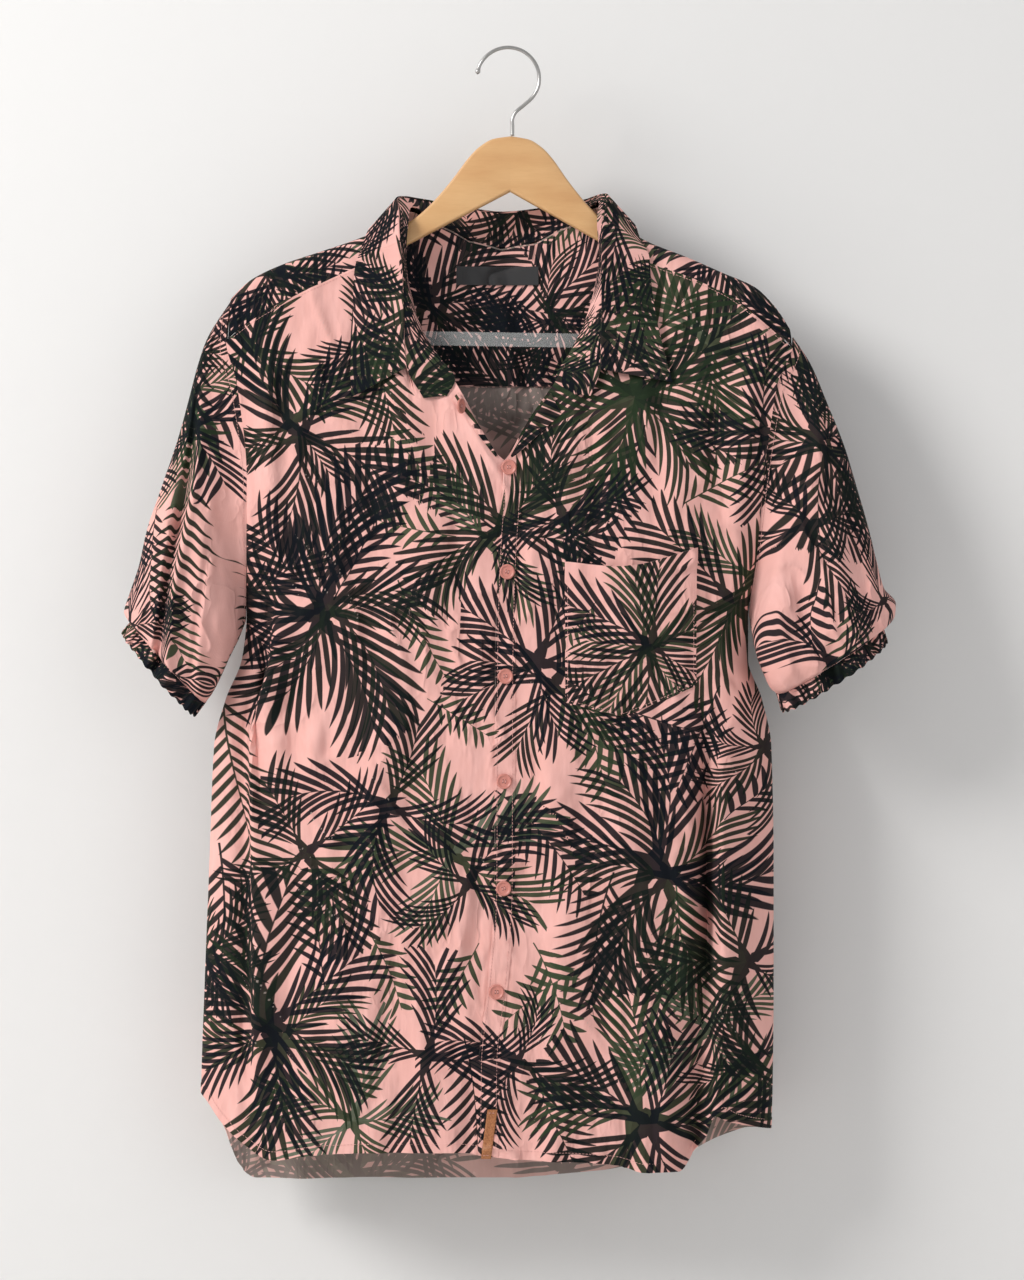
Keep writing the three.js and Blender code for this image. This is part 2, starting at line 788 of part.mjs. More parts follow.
// A point on a sleeve: t from armhole to cuff seam, turn round it from the outer edge by the front.
function sleevePoint(name, t, turn) {
  const { side, outer, inner, cuffDrop } = SLEEVES[name];
  const angle = 2 * Math.PI * turn;
  const face = turn < 0.5 ? -1 : 1;
  const c = (1 - Math.cos(angle)) / 2;
  const round = Math.abs(Math.sin(angle)) ** 0.75;
  const top = onLine(outer, t);
  const base = onLine(inner, t);
  const start = { x: lerp(outer[0].x, inner[0].x, c), z: lerp(outer[0].z, inner[0].z, c) };
  const seamX = sideX(side, start.z);
  const seamY = layerY(face, seamX, start.z);
  const away = smooth(0, 0.45, t);
  const clear = side * UNDERARM_CLEAR * smooth(0.5, 0.9, c) * (1 - smooth(0, 0.4, t));
  const x = lerp(top.x, base.x, c) + (seamX - start.x) * (1 - away) + clear;
  const z = lerp(top.z, base.z, c) - cuffDrop * -face * round * smooth(0.6, 1, t);
  const half = along(SLEEVE_DEPTH, "t", "half", t);
  const forward = (SLEEVE_FORWARD.base * c + SLEEVE_FORWARD.top) * smooth(0, 0.5, t);
  let out = half * round;
  SLEEVE_FOLDS.filter((fold) => fold.sleeve === name && fold.face === face).forEach((fold) => {
    const share = clamp((t - fold.t0) / (fold.t1 - fold.t0), 0, 1);
    const bell = Math.exp(-(((c - lerp(fold.c0, fold.c1, share)) / fold.width) ** 2));
    out += fold.depth * bell * smooth(fold.t0 - 0.05, fold.t0 + 0.2, t) * Math.min(1, 4 * c, 4 - 4 * c);
  });
  const gather = GATHER_DEPTH * smooth(0.8, 1, t) * Math.cos(angle * CUFF_GATHERS);
  const blend = smooth(0, 0.3, t);
  const y = lerp(seamY, face * (out + gather) - forward, blend);
  return new THREE.Vector3(x, y, z);
}

function sleeve(name) {
  const turns = Array.from({ length: SLEEVE_COLUMNS }, (_, i) => i / SLEEVE_COLUMNS);
  const downs = shares(SLEEVE_ROWS).map((v) => 1 - (1 - v) ** 1.35);
  const grid = gridOf(downs, turns, (turn, t) => sleevePoint(name, t, turn));
  return wall(inset(grid, true, 1), { side: SLEEVES[name].side, wrap: true });
}

function cuff(name) {
  const { side, cuffReach } = SLEEVES[`${name}_sleeve`];
  const turns = Array.from({ length: SLEEVE_COLUMNS }, (_, i) => i / SLEEVE_COLUMNS);
  const grid = gridOf(shares(2), turns, (turn, v) => {
    const point = sleevePoint(`${name}_sleeve`, 1, turn);
    const ruffle = GATHER_DEPTH * v * Math.cos(2 * Math.PI * turn * CUFF_GATHERS);
    point.x += cuffReach[0] * v * CUFF.spread;
    point.z += cuffReach[1] * v;
    point.y += (point.y < CUFF.halfY ? -1 : 1) * ruffle;
    return point;
  });
  return wall(inset(grid, true), { side, wrap: true });
}

// Collar

function rib(row, part) {
  const x = row[`${part}X`];
  const z = row[`${part}Z`];
  if (part === "seam" && !row.chest) {
    const edge = neckPoint(x, z);
    return edge.setZ(Math.max(edge.z, z) + NECK_GAP);
  }
  const y = row[`${part}Y`];
  return row.chest ? new THREE.Vector3(x, layerY(-1, x, z) - y, z) : new THREE.Vector3(x, y, z);
}

// A smooth line through one place on every rib.
const ribLine = (points) => new THREE.CatmullRomCurve3(points, false, "centripetal");

function collarStand() {
  const [rightEnd, leftEnd] = STAND_ENDS;
  const end = (row, part, out) => {
    const x = row[`${part}X`];
    const z = row[`${part}Z`];
    return new THREE.Vector3(x, layerY(-1, x, z) - out, z);
  };
  const line = (part, out) => {
    const ribs = COLLAR.map((row) => rib(row, part));
    return ribLine([end(rightEnd, part, out), ...ribs, end(leftEnd, part, out)]);
  };
  const seam = line("seam", STAND_LIFT.seam);
  const fold = line("fold", STAND_LIFT.fold);
  const grid = gridOf(shares(3), shares(36), (u, v) => seam.getPoint(u).lerp(fold.getPoint(u), v));
  return wall(grid, { side: 1 });
}

function collarLeaf() {
  const fold = ribLine(COLLAR.map((r) => rib(r, "fold")));
  const edge = ribLine(COLLAR.map((r) => rib(r, "edge")));
  const grid = gridOf(shares(4), shares(36), (u, v) => {
    const from = fold.getPoint(u);
    const to = edge.getPoint(u);
    const back = smooth(-8, 18, from.y);
    const outward = new THREE.Vector3(to.x - from.x, to.y - from.y, 0).normalize();
    from.addScaledVector(outward, LEAF_ROLL.out + LEAF_ROLL.outBehind * back);
    from.z += LEAF_ROLL.up;
    return from.lerp(to, v).addScaledVector(outward, LEAF_ROLL.swell * Math.sin(Math.PI * v) * back);
  });
  return wall(grid, { side: 1 });
}

// What lies on the fronts

function placketBand() {
  const grid = gridOf(shares(FRONT_ROWS), [0, 0.5, 1], (u, v) => {
    const x = (z) => along(LAP, "z", "x", z) + BAND.inset + u * BAND.width;
    const z = lerp(BAND.top + BAND.rise * u, meet(FRONT_HEM, x, HEM_RANGE) + 1, v);
    return onFront(x(z), z, LYING);
  });
  return wall(grid, { side: 1, thick: WALL });
}

// The strip of the inside that each neck edge turns out, wider toward the collar. It stands off most
// along the edge, where the cloth rolls.
function neckFacing(line, { shift, narrow, wide, farX, farZ, lift, roll }) {
  return gridOf(shares(6), shares(2), (u, v) => {
    const edge = onLine(line, lerp(FACING_SPAN.start, FACING_SPAN.end, v));
    const width = lerp(narrow, wide, v ** 0.8);
    const x = edge.x + shift + u * width * farX;
    const z = edge.z + u * width * farZ;
    return onFront(x, z, FACING_SPAN.out + lift * (1 - v) ** 2 + roll * v * (1 - u));
  });
}

function rightFacing() {
  const line = RIGHT_FRONT_TOP.filter((row) => row.x >= -51 && row.x < 0).reverse();
  return wall(neckFacing(line, FACINGS.right), { side: -1 });
}

function leftFacing() {
  const line = LEFT_FRONT_TOP.filter((row) => row.x > -8 && row.x < 37.5);
  return wall(neckFacing(line, FACINGS.left), { side: 1 });
}

function pocket() {
  const { left, right, top, topRight, sag, base, baseRight } = POCKET;
  const grid = gridOf(shares(7), shares(8), (u, v) => {
    const x = lerp(left, right, u);
    const upper = lerp(top, topRight, u) - sag * Math.sin(Math.PI * u) ** 1.2;
    const half = u < POCKET_POINT.share ? POCKET_POINT.share : 1 - POCKET_POINT.share;
    const peak = 1 - Math.abs(u - POCKET_POINT.share) / half;
    const lower = lerp(base, baseRight, u) - POCKET_POINT.drop * peak;
    const gape = POCKET_GAPE * Math.sin(Math.PI * u) * (1 - v) ** 2;
    return onFront(x, lerp(upper, lower, v), LYING + gape + WALL * u);
  });
  return wall(grid, { side: 1 });
}

// A turned button with a raised rim and a square recess, its back at the origin and its face toward -Y.
function buttonGeometry() {
  const { radius, height, rim, dish, eye, eyeDepth, sides } = BUTTON;
  const profile = [
    [0, 0],
    [radius * 0.7, 0],
    [radius, height * 0.45],
    [radius, height * 0.75],
    [radius - rim, height],
    [radius - rim - 0.8, height - dish],
    [eye, height - dish],
    [eye * 0.9, height - dish - eyeDepth],
    [0, height - dish - eyeDepth],
  ].map(([r, h]) => new THREE.Vector2(r, h));
  return new THREE.LatheGeometry(profile, sides).rotateX(Math.PI);
}

function leatherTab() {
  const grid = gridOf(shares(4), [0, 1], (u, v) => {
    const x = lerp(TAB.topX, TAB.baseX, v) + (u - 0.5) * TAB.width;
    const z = lerp(TAB.topZ, TAB.baseZ, v);
    return onFront(x, z, 2 * LYING);
  });
  return wall(grid, { side: 1, thick: TAB.thick });
}

// Hanger

function hangerBody() {
  const tip = HANGER_TOP[HANGER_TOP.length - 1];
  const outline = new THREE.Shape();
  const upper = HANGER_TOP.map((p) => new THREE.Vector2(p.x, p.z));
  const lower = HANGER_BASE.map((p) => new THREE.Vector2(p.x, p.z));
  const flip = (p) => new THREE.Vector2(-p.x, p.y);
  outline.moveTo(upper[0].x, upper[0].y);
  outline.splineThru(upper.slice(1));
  const { x: end, upper: shoulder, middle, lower: corner } = HANGER_END;
  outline.quadraticCurveTo(end, shoulder, end, middle);
  outline.quadraticCurveTo(end, corner, lower[0].x, lower[0].y);
  outline.splineThru(lower.slice(1));
  outline.splineThru(lower.slice(0, -1).reverse().map(flip));
  outline.quadraticCurveTo(-end, corner, -end, middle);
  outline.quadraticCurveTo(-end, shoulder, -tip.x, tip.z);
  outline.splineThru(upper.slice(0, -1).reverse().map(flip));
  const geometry = new THREE.ExtrudeGeometry(outline, {
    depth: HANGER.thick - 2 * HANGER.bevel,
    bevelThickness: HANGER.bevel,
    bevelSize: HANGER.bevel,
    bevelOffset: -HANGER.bevel,
    bevelSegments: 1,
    curveSegments: 2,
  });
  geometry.translate(0, 0, -(HANGER.thick - 2 * HANGER.bevel) / 2);
  geometry.rotateX(Math.PI / 2);
  geometry.deleteAttribute("uv");
  return geometry;
}

// A round wire through points, with a radius at each, closed by a cap at both ends.
function wire(points, radii, sides) {
  const curve = new THREE.CatmullRomCurve3(points, false, "centripetal");
  const steps = Math.round(points.length * 1.6);
  const positions = [];
  const across = new THREE.Vector3(0, 1, 0);
  for (let i = 0; i <= steps; i += 1) {
    const t = i / steps;
    const centre = curve.getPoint(t);
    const up = curve.getTangent(t).cross(across).normalize();
    const at = t * (radii.length - 1);
    const k = Math.min(Math.floor(at), radii.length - 2);
    const r = lerp(radii[k], radii[k + 1], at - k);
    for (let j = 0; j < sides; j += 1) {
      const a = (2 * Math.PI * j) / sides;
      const p = centre.clone().addScaledVector(up, r * Math.cos(a)).addScaledVector(across, r * Math.sin(a));
      positions.push(p.x, p.y, p.z);
    }
  }
  const index = [];
  for (let i = 0; i < steps; i += 1)
    for (let j = 0; j < sides; j += 1) {
      const a = i * sides + j;
      const b = i * sides + ((j + 1) % sides);
      index.push(a, b + sides, b, a, a + sides, b + sides);
    }
  for (let j = 1; j < sides - 1; j += 1) {
    const e = steps * sides;
    index.push(0, j, j + 1, e, e + j + 1, e + j);
  }
  const geometry = new THREE.BufferGeometry();
  geometry.setAttribute("position", new THREE.Float32BufferAttribute(positions, 3));
  geometry.setIndex(index);
  geometry.computeVertexNormals();
  return geometry;
}

function hangerHook() {
  const { wire: r, radius, x, z, tipAngle, endAngle, ball } = HOOK;
  const arc = shares(12).map((share) => {
    const a = THREE.MathUtils.degToRad(lerp(tipAngle, endAngle, share));
    return new THREE.Vector3(x + radius * Math.cos(a), 0, z + radius * Math.sin(a));
  });
  const points = [...arc, ...HOOK_NECK.map((row) => new THREE.Vector3(row.x, 0, row.z))];
  const radii = points.map((_, i) => (i === 0 ? ball * 0.8 : i === 1 ? r * 1.02 : r));
  radii.splice(1, 0, ball, r);
  return wire(points, radii, HOOK.sides);
}

// The clear bar between the arms: a flat strip with a post up to each arm.
function hangerBar() {
  const { reach, z, height, thick, post, postTop } = BAR;
  const outline = new THREE.Shape([
    new THREE.Vector2(-reach, postTop),
    new THREE.Vector2(-reach, z - height / 2),
    new THREE.Vector2(reach, z - height / 2),
    new THREE.Vector2(reach, postTop),
    new THREE.Vector2(reach - post, postTop),
    new THREE.Vector2(reach - post, z + height / 2),
    new THREE.Vector2(-reach + post, z + height / 2),
    new THREE.Vector2(-reach + post, postTop),
  ]);
  const geometry = new THREE.ExtrudeGeometry(outline, { depth: thick, bevelEnabled: false });
  geometry.translate(0, 0, -thick / 2).rotateX(Math.PI / 2);
  geometry.deleteAttribute("uv");
  return geometry;
}

// The scene graph

const material = (color, roughness, metalness = 0) =>
  new THREE.MeshStandardMaterial({ color, roughness, metalness });
const CLOTH = material(0xe0a198, 0.85);
const LABEL_CLOTH = material(0x1c1c1e, 0.9);
const PLASTIC = material(0xd9897b, 0.45);
const LEATHER = material(0x9a5a2c, 0.6);
const MAPLE = material(0xd9a55e, 0.4);
const STEEL = material(0x9a9a98, 0.3, 1);
const CLEAR = material(0xe6e9ea, 0.15);

const group = new THREE.Group();
function add(name, geometry, finish, parent = group) {
  const mesh = new THREE.Mesh(geometry, finish);
  mesh.name = name;
  parent.add(mesh);
  return mesh;
}

add("right_front", frontPanel("right_front"), CLOTH);
add("left_front", frontPanel("left_front"), CLOTH);
add("back", backPanel(), CLOTH);
add("back_yoke", yokePanel(), CLOTH);
add("inner_yoke", innerYoke(), CLOTH);
Object.keys(SLEEVES).forEach((name) => add(name, sleeve(name), CLOTH));
["right", "left"].forEach((name) => add(`${name}_cuff`, cuff(name), CLOTH));
add("collar_stand", collarStand(), CLOTH);
add("collar_leaf", collarLeaf(), CLOTH);
add("placket_band", placketBand(), CLOTH);
add("right_facing", rightFacing(), CLOTH);
add("left_facing", leftFacing(), CLOTH);
add("pocket", pocket(), CLOTH);
add("neck_label", neckLabel(), LABEL_CLOTH);
add("leather_tab", leatherTab(), LEATHER);

BUTTONS.forEach(({ x, z }, i) => {
  const button = add(`button_${i + 1}`, buttonGeometry(), PLASTIC);
  button.position.copy(onFront(x, z, 2 * LYING + BUTTON.shank));
});
const collarButton = add("collar_button", buttonGeometry(), PLASTIC);
collarButton.position.copy(onFront(COLLAR_BUTTON.x, COLLAR_BUTTON.z, COLLAR_BUTTON.out));
collarButton.rotation.z = THREE.MathUtils.degToRad(COLLAR_BUTTON.turn);

const hanger = new THREE.Group();
hanger.rotation.y = HANGER.tilt;
group.add(hanger);
add("hanger_body", hangerBody(), MAPLE, hanger);
add("hanger_bar", hangerBar(), CLEAR, hanger);
add("hanger_hook", hangerHook(), STEEL);

export default group;
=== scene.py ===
"""A short-sleeved printed shirt on a wooden clothes hanger, in front of a pale wall.

Tables and shapes are in millimetres, with +Z up and the front of the shirt toward -Y, and become
metres when a mesh is made. "Left" and "right" in a name are the wearer's.
"""
import math

import bpy
import numpy as np
from mathutils import Matrix


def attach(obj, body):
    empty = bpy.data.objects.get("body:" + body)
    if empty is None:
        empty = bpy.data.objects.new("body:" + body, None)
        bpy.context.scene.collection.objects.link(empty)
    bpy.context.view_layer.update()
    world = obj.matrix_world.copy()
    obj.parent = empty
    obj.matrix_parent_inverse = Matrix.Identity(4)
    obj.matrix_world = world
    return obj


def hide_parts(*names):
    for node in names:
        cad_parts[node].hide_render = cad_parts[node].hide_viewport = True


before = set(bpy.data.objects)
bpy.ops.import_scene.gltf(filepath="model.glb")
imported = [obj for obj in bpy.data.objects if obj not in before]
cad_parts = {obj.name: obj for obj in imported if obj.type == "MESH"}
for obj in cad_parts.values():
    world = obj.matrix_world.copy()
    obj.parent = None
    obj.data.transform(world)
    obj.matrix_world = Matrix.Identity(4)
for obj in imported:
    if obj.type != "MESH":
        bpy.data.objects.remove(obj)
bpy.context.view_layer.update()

MM = 0.001
CLOTH = 0.7
LIFT = 0.25
HEM = 9
SEED = 11


# Tables of the garment's form, the same sizes as in the frame
def table(names, rows):
    return dict(zip(names.split(), np.array(rows, float).T))


TORSO = table("z left right front back", [
    (-120, -243, 236, 9, 9), (-215, -243, 238, 18, 18), (-250, -246, 242, 22, 23),
    (-290, -236, 227, 27, 28), (-372, -227, 215, 35, 35), (-440, -227, 208, 40, 39),
    (-490, -228, 202, 43, 41), (-525, -232, 202, 44, 42), (-560, -246, 214, 46, 43),
    (-600, -256, 222, 47, 44), (-700, -260, 224, 48, 45), (-800, -264, 224, 49, 46),
    (-900, -267, 223, 50, 47), (-980, -262, 217, 51, 48),
])
SHOULDER = table("x z", [
    (-247, -222), (-243, -217), (-224, -199), (-197, -186), (-166, -175.5), (-135, -165),
    (-110, -154), (-86, -139.5), (-74, -132), (-50, -122), (-10, -117), (36, -121), (60, -128),
    (72, -135), (94, -151.5), (113, -165), (150, -180), (182, -194), (208, -205.5), (225, -222),
    (242, -248), (250, -262),
])
FRONT_TOP = {
    "right_front": table("x z", [
        (-250, -254), (-244, -250), (-220, -232), (-182, -211), (-141, -192), (-98, -176),
        (-94, -186), (-87, -215), (-77, -246), (-62, -269), (-50, -286), (-7, -355), (25, -366),
    ]),
    "left_front": table("x z", [
        (-25, -366), (-7, -355), (13, -322), (26, -303), (37, -287), (50, -262), (62, -238),
        (72, -205), (76, -185), (80, -171), (118, -185), (159, -200), (186, -213), (211, -233),
        (238, -256), (250, -266),
    ]),
}
FRONT_HEM = table("x z", [
    (-275, -893), (-264, -901), (-249, -921), (-228, -941), (-205, -953), (-165, -947),
    (-118, -945), (-53, -945), (7, -951), (57, -953), (90, -956), (112, -962), (141, -962),
    (154, -948), (168, -932), (180, -915), (192, -921), (205, -925), (224, -929),
])
BACK_HEM = table("x z", [
    (-275, -893), (-264, -901), (-248, -933), (-236, -964), (-222, -975), (-100, -977),
    (6, -976), (60, -972), (110, -965), (150, -953), (187, -936), (205, -930), (224, -929),
])
LAP = table("z x", [
    (-120, -8), (-355, -8), (-450, -13), (-540, -15), (-720, -15.5), (-808, -22), (-868, -28.5),
    (-980, -29.5),
])
UNDERLAP = 26
BAND = {"width": 17, "inset": 0.4, "top": -359, "rise": 21.6}
CREST = 8.5
SHOULDER_FALL = 90
NAPE = {"out": 16, "x": -10, "z": -165, "wide": 70, "high": 80}
UNDERARM = {1: -487, -1: -493}
ARMHOLE_TOP = {1: -248, -1: -217}
YOKE_SEAM = -290

# Main folds: the share of the way from the lap, or from the middle of the back, to the side edge
FOLD_NAMES = "at at_hem width depth lean top bottom".split()
FOLDS = {
    "right_front": [
        (0.86, 0.77, 0.035, 7, -9, -470, -880), (0.915, 0.84, 0.04, -9, 0, -480, -900),
        (0.9, 0.93, 0.05, 5, 0, -250, -420), (0.45, 0.5, 0.09, 3, 0, -560, -1100),
        (0.25, 0.3, 0.07, -3, 0, -330, -640),
    ],
    "left_front": [
        (0.77, 0.73, 0.04, -19, 0, -620, -1100), (0.86, 0.85, 0.05, 7, -8, -590, -1100),
        (0.9, 0.93, 0.05, 5, 0, -240, -400), (0.35, 0.3, 0.1, 3, 0, -600, -1100),
        (0.6, 0.62, 0.06, 4, 0, -850, -1100),
    ],
    "back": [
        (-0.62, -0.66, 0.07, -10, 0, -370, -1100), (-0.4, -0.42, 0.08, 6, 0, -420, -1100),
        (0.12, 0.1, 0.07, -7, 0, -370, -1100), (0.5, 0.55, 0.07, 7, 0, -380, -1100),
        (0.72, 0.74, 0.05, -9, 0, -470, -1100),
    ],
}
FOLD_FADE = 60

# Creases pressed and hung into the cloth, placed one by one: the middle, the length, the turn from
# upright (positive leans to the right at the top), the half width and the height before the gain
CREASE_GAIN = 2.4
CREASE_NAMES = "x z length turn width depth".split()
CREASES = {
    "front": [
        (-210, -590, 240, -2.3, 4, -4.5), (-199, -590, 240, -2.3, 7, 2.6),
        (168, -720, 440, -2.2, 5, -4.5), (186, -700, 420, -2, 9, 2.8),
        (-215, -330, 190, 4, 9, 2.4), (-196, -350, 150, -3, 8, -2.0), (-170, -300, 120, 12, 7, 1.3),
        (-150, -430, 210, -6, 11, 1.5), (-118, -400, 150, -10, 8, -1.4), (-92, -370, 130, 6, 7, 1.2),
        (-70, -470, 190, 3, 9, 1.4), (-45, -440, 150, -4, 7, -1.3), (-30, -520, 160, 2, 6, 1.1),
        (-205, -520, 150, 38, 9, 2.2), (-190, -560, 140, 30, 8, -1.8), (-165, -590, 160, 20, 9, 1.6),
        (-120, -640, 230, 5, 10, 1.6), (-88, -660, 200, 1, 9, -1.4), (-60, -720, 240, -3, 9, 1.5),
        (-38, -690, 130, 8, 6, -1.0), (-150, -800, 230, -4, 10, 1.7), (-185, -760, 210, 4, 8, -1.6),
        (-110, -850, 190, 6, 9, -1.5), (-75, -880, 150, -8, 8, 1.4), (-215, -860, 150, 8, 8, 1.8),
        (-40, -860, 170, 3, 6, 1.1), (20, -420, 130, 10, 7, 1.2), (38, -470, 150, 3, 7, -1.2),
        (28, -600, 200, -5, 8, 1.3), (60, -650, 210, 3, 9, -1.5), (90, -640, 150, -12, 8, 1.3),
        (125, -650, 160, 8, 8, -1.2), (150, -420, 200, -6, 10, 1.8), (178, -380, 210, -3, 9, -2.0),
        (120, -330, 120, -14, 8, 1.3), (80, -360, 130, 12, 8, -1.2), (185, -520, 150, -34, 8, 2.0),
        (172, -560, 140, -28, 8, -1.7), (40, -790, 220, 4, 9, 1.6), (75, -830, 200, -3, 9, -1.6),
        (110, -800, 210, 6, 8, 1.4), (145, -720, 180, -8, 7, 1.5), (20, -880, 150, -6, 8, -1.2),
        (130, -900, 130, 5, 8, 1.6), (200, -740, 220, 2, 6, 1.3), (60, -560, 90, 55, 6, 0.9),
        (-60, -560, 90, -50, 6, 0.9), (-130, -520, 80, 60, 5, 0.8), (0, -700, 70, 70, 5, 0.8),
    ],
    "back": [
        (-180, -420, 220, 5, 11, 2.2), (-120, -380, 180, -8, 9, -1.8), (-60, -450, 240, 3, 10, 1.8),
        (0, -400, 200, -4, 9, 1.6), (50, -480, 240, 5, 10, -1.8), (110, -420, 210, -6, 10, 1.9),
        (165, -460, 220, 7, 9, -1.7), (-200, -600, 170, 30, 9, 2.2), (180, -590, 170, -32, 9, 2.2),
        (-150, -680, 230, 4, 10, 1.8), (-90, -700, 260, -3, 11, -1.9), (-20, -740, 260, 2, 10, 1.8),
        (60, -700, 240, -4, 10, 1.7), (130, -760, 240, 5, 10, -1.8), (-60, -880, 180, 6, 9, 1.6),
        (20, -880, 170, -6, 9, -1.6), (100, -880, 160, 3, 9, 1.6), (-170, -870, 180, -4, 9, 1.7),
        (-10, -330, 80, 72, 7, 1.2), (-90, -560, 110, -55, 7, 1.1), (90, -600, 110, 58, 7, 1.1),
    ],
}

SLEEVES = {
    "right": {
        "side": -1, "drop": 4, "reach": (-14, -11),
        "outer": table("x z", [
            (-243, -217), (-263, -249), (-271, -272), (-279, -303), (-289, -339), (-305, -386),
            (-315, -416), (-321, -443), (-330, -470), (-334, -484), (-327, -491),
        ]),
        "inner": table("x z", [
            (-228, -493), (-234, -507), (-242, -523), (-250, -541), (-258, -556), (-263, -562),
        ]),
    },
    "left": {
        "side": 1, "drop": 8, "reach": (7, -15),
        "outer": table("x z", [
            (242, -248), (257, -271), (270, -302), (285, -340), (296, -376), (306, -411),
            (313, -439), (320, -464), (330, -477), (329, -487), (318, -494),
        ]),
        "inner": table("x z", [
            (202.3, -487), (205, -502), (209, -522), (215, -538), (221, -550), (226, -553),
        ]),
    },
}
SLEEVE_DEPTH = table("t half", [(0, 20), (0.25, 31), (0.6, 37), (0.85, 41), (0.95, 37), (1, 29)])
# Each sleeve's folds run from one place (t down it, c across it) to another; face -1 is in front
SLEEVE_FOLDS = {
    "right": [
        (-1, 0.12, 0.06, 0.95, 0.42, 0.045, -12), (-1, 0.2, 0.2, 1, 0.56, 0.06, 5),
        (1, 0.3, 0.3, 1, 0.5, 0.08, -7), (-1, 0.25, 0.5, 0.9, 0.78, 0.04, -3),
        (-1, 0.35, 0.08, 1, 0.2, 0.03, 3), (1, 0.2, 0.6, 0.9, 0.75, 0.05, 3),
    ],
    "left": [
        (-1, 0.3, 0.62, 1, 0.55, 0.07, -6), (-1, 0.25, 0.3, 0.95, 0.3, 0.08, 5),
        (1, 0.3, 0.35, 1, 0.5, 0.08, -7), (-1, 0.3, 0.15, 1, 0.12, 0.035, -3),
        (-1, 0.35, 0.8, 1, 0.82, 0.04, 3.5), (-1, 0.5, 0.42, 1, 0.45, 0.03, 3),
        (1, 0.2, 0.6, 0.9, 0.75, 0.05, 3),
    ],
}
GATHERS = {"count": 10, "depth": 1.6, "fine": 27, "fine_depth": 0.8}
UNDERARM_CLEAR = 1.3
SLEEVE_EDGE = 14  # cloth from the outer edge to the flat of a sleeve's front
SLEEVE_FORWARD = {"base": 16, "top": 3}

COLLAR = table("chest seam_x seam_y seam_z fold_x fold_y fold_z edge_x edge_y edge_z", [
    (1, -49, 3, -285, -90, 9, -277, -138, 5, -301),
    (1, -61, 3, -268, -92, 10, -250, -139, 5, -262),
    (1, -76, 3, -245, -93, 11, -218, -137, 5, -220),
    (1, -86, 3, -214, -94, 12, -190, -135, 5, -188),
    (1, -91, 3, -182, -96, 12, -163, -131, 5, -176),
    (1, -89, 5.5, -150, -97, 11, -140, -127, 5, -163),
    (0, -86, 0, -137, -98, -1, -129, -121, -1, -152.5),
    (0, -68, 17, -147, -78, 25, -128, -98, 32, -168),
    (0, -38, 26, -163, -42, 34, -134, -50, 44, -185),
    (0, -10, 29, -170, -10, 38, -138, -10, 48, -190),
    (0, 20, 27, -165, 24, 35, -135, 32, 45, -186),
    (0, 52, 17, -150, 60, 25, -129, 78, 33, -170),
    (0, 73, -1, -132.5, 80, -1, -126, 104, -1, -149.5),
    (1, 72.5, 8, -149, 79, 11.5, -140, 110, 5, -164),
    (1, 74, 3, -182, 76, 12, -163, 117, 5, -178),
    (1, 70, 3, -207, 76, 12, -196, 119, 5, -201),
    (1, 61, 3, -238, 76, 11, -228, 123, 5, -230),
    (1, 49, 3, -262, 75, 10, -255, 129, 5, -257),
    (1, 37, 3, -284, 75, 9, -278, 137, 5, -288),
])
STAND_ENDS = {"seam": ((-56, -300, 3), (42, -298, 3)), "fold": ((-76, -302, 5), (67, -300, 5))}
NECK_GAP = 1.8
YOKE_CLEAR = 2.8
YOKE_ROLL = 8
FACINGS = {
    "right": {"shift": -3, "narrow": 2, "wide": 8, "far": (-0.75, -0.66), "lift": 0.4},
    "left": {"shift": 3, "narrow": 2, "wide": 20, "far": (0.45, -0.89), "lift": 3.2},
}
FACING_SPAN = {"start": 0.06, "end": 0.84, "out": 1.9, "roll": 2}
POCKET = {"left": 45, "right": 157, "top": -442, "top_right": -430, "sag": 9, "base": -562,
          "base_right": -548, "point": 0.44, "drop": 18, "gape": 5}
BUTTONS = [(-3, -361), (-4.5, -450.5), (-6, -539.5), (-7, -629), (-7.5, -720), (-13.5, -808)]
BUTTON = {"radius": 6.5, "height": 2.5, "out": 3.35}
HOLE = {"radius": 0.62, "aside": 1.05}
STRAND = {"wide": 0.34, "high": 0.25, "reach": 1.1, "rise": 0.45, "off": 0.1}
COLLAR_BUTTON = {"x": -45, "z": -309, "out": 10, "turn": 62}
LABEL = {"x": -13, "z": -193.5, "width": 71, "height": 16, "depth": 3.4}
TAB = {"top": (-17, -908), "base": (-22.5, -950), "width": 8.5, "out": 3.1, "thick": 1.3}
TILT = math.radians(0.9)
HANGER_TOP = table("x z", [
    (0, -75), (15, -77.5), (27, -84.5), (37, -95), (47, -109), (58, -123), (70, -136.5), (84, -148.5),
    (110, -162.3), (150, -179.5), (190, -196), (207, -205), (212.5, -209.5), (214, -215),
])
HANGER_BASE = table("x z", [
    (0, -123), (40, -144.5), (95, -174), (150, -201), (190, -218), (208, -224), (213, -221), (214, -215),
])
HANGER_THICK = 10.6
HOOK = {"wire": 1.6, "radius": 26.9, "x": -3.8, "z": -25.3, "tip": 172, "end": -18, "ball": 2.3}
HOOK_NECK = [(17.5, -41), (10, -48), (3, -54), (0, -60), (0, -67), (0, -74.5)]


# Curves through the tables
def lerp(a, b, t):
    return a + (b - a) * t


def smooth(start, end, at):
    t = np.clip((at - start) / (end - start), 0, 1)
    return t * t * (3 - 2 * t)


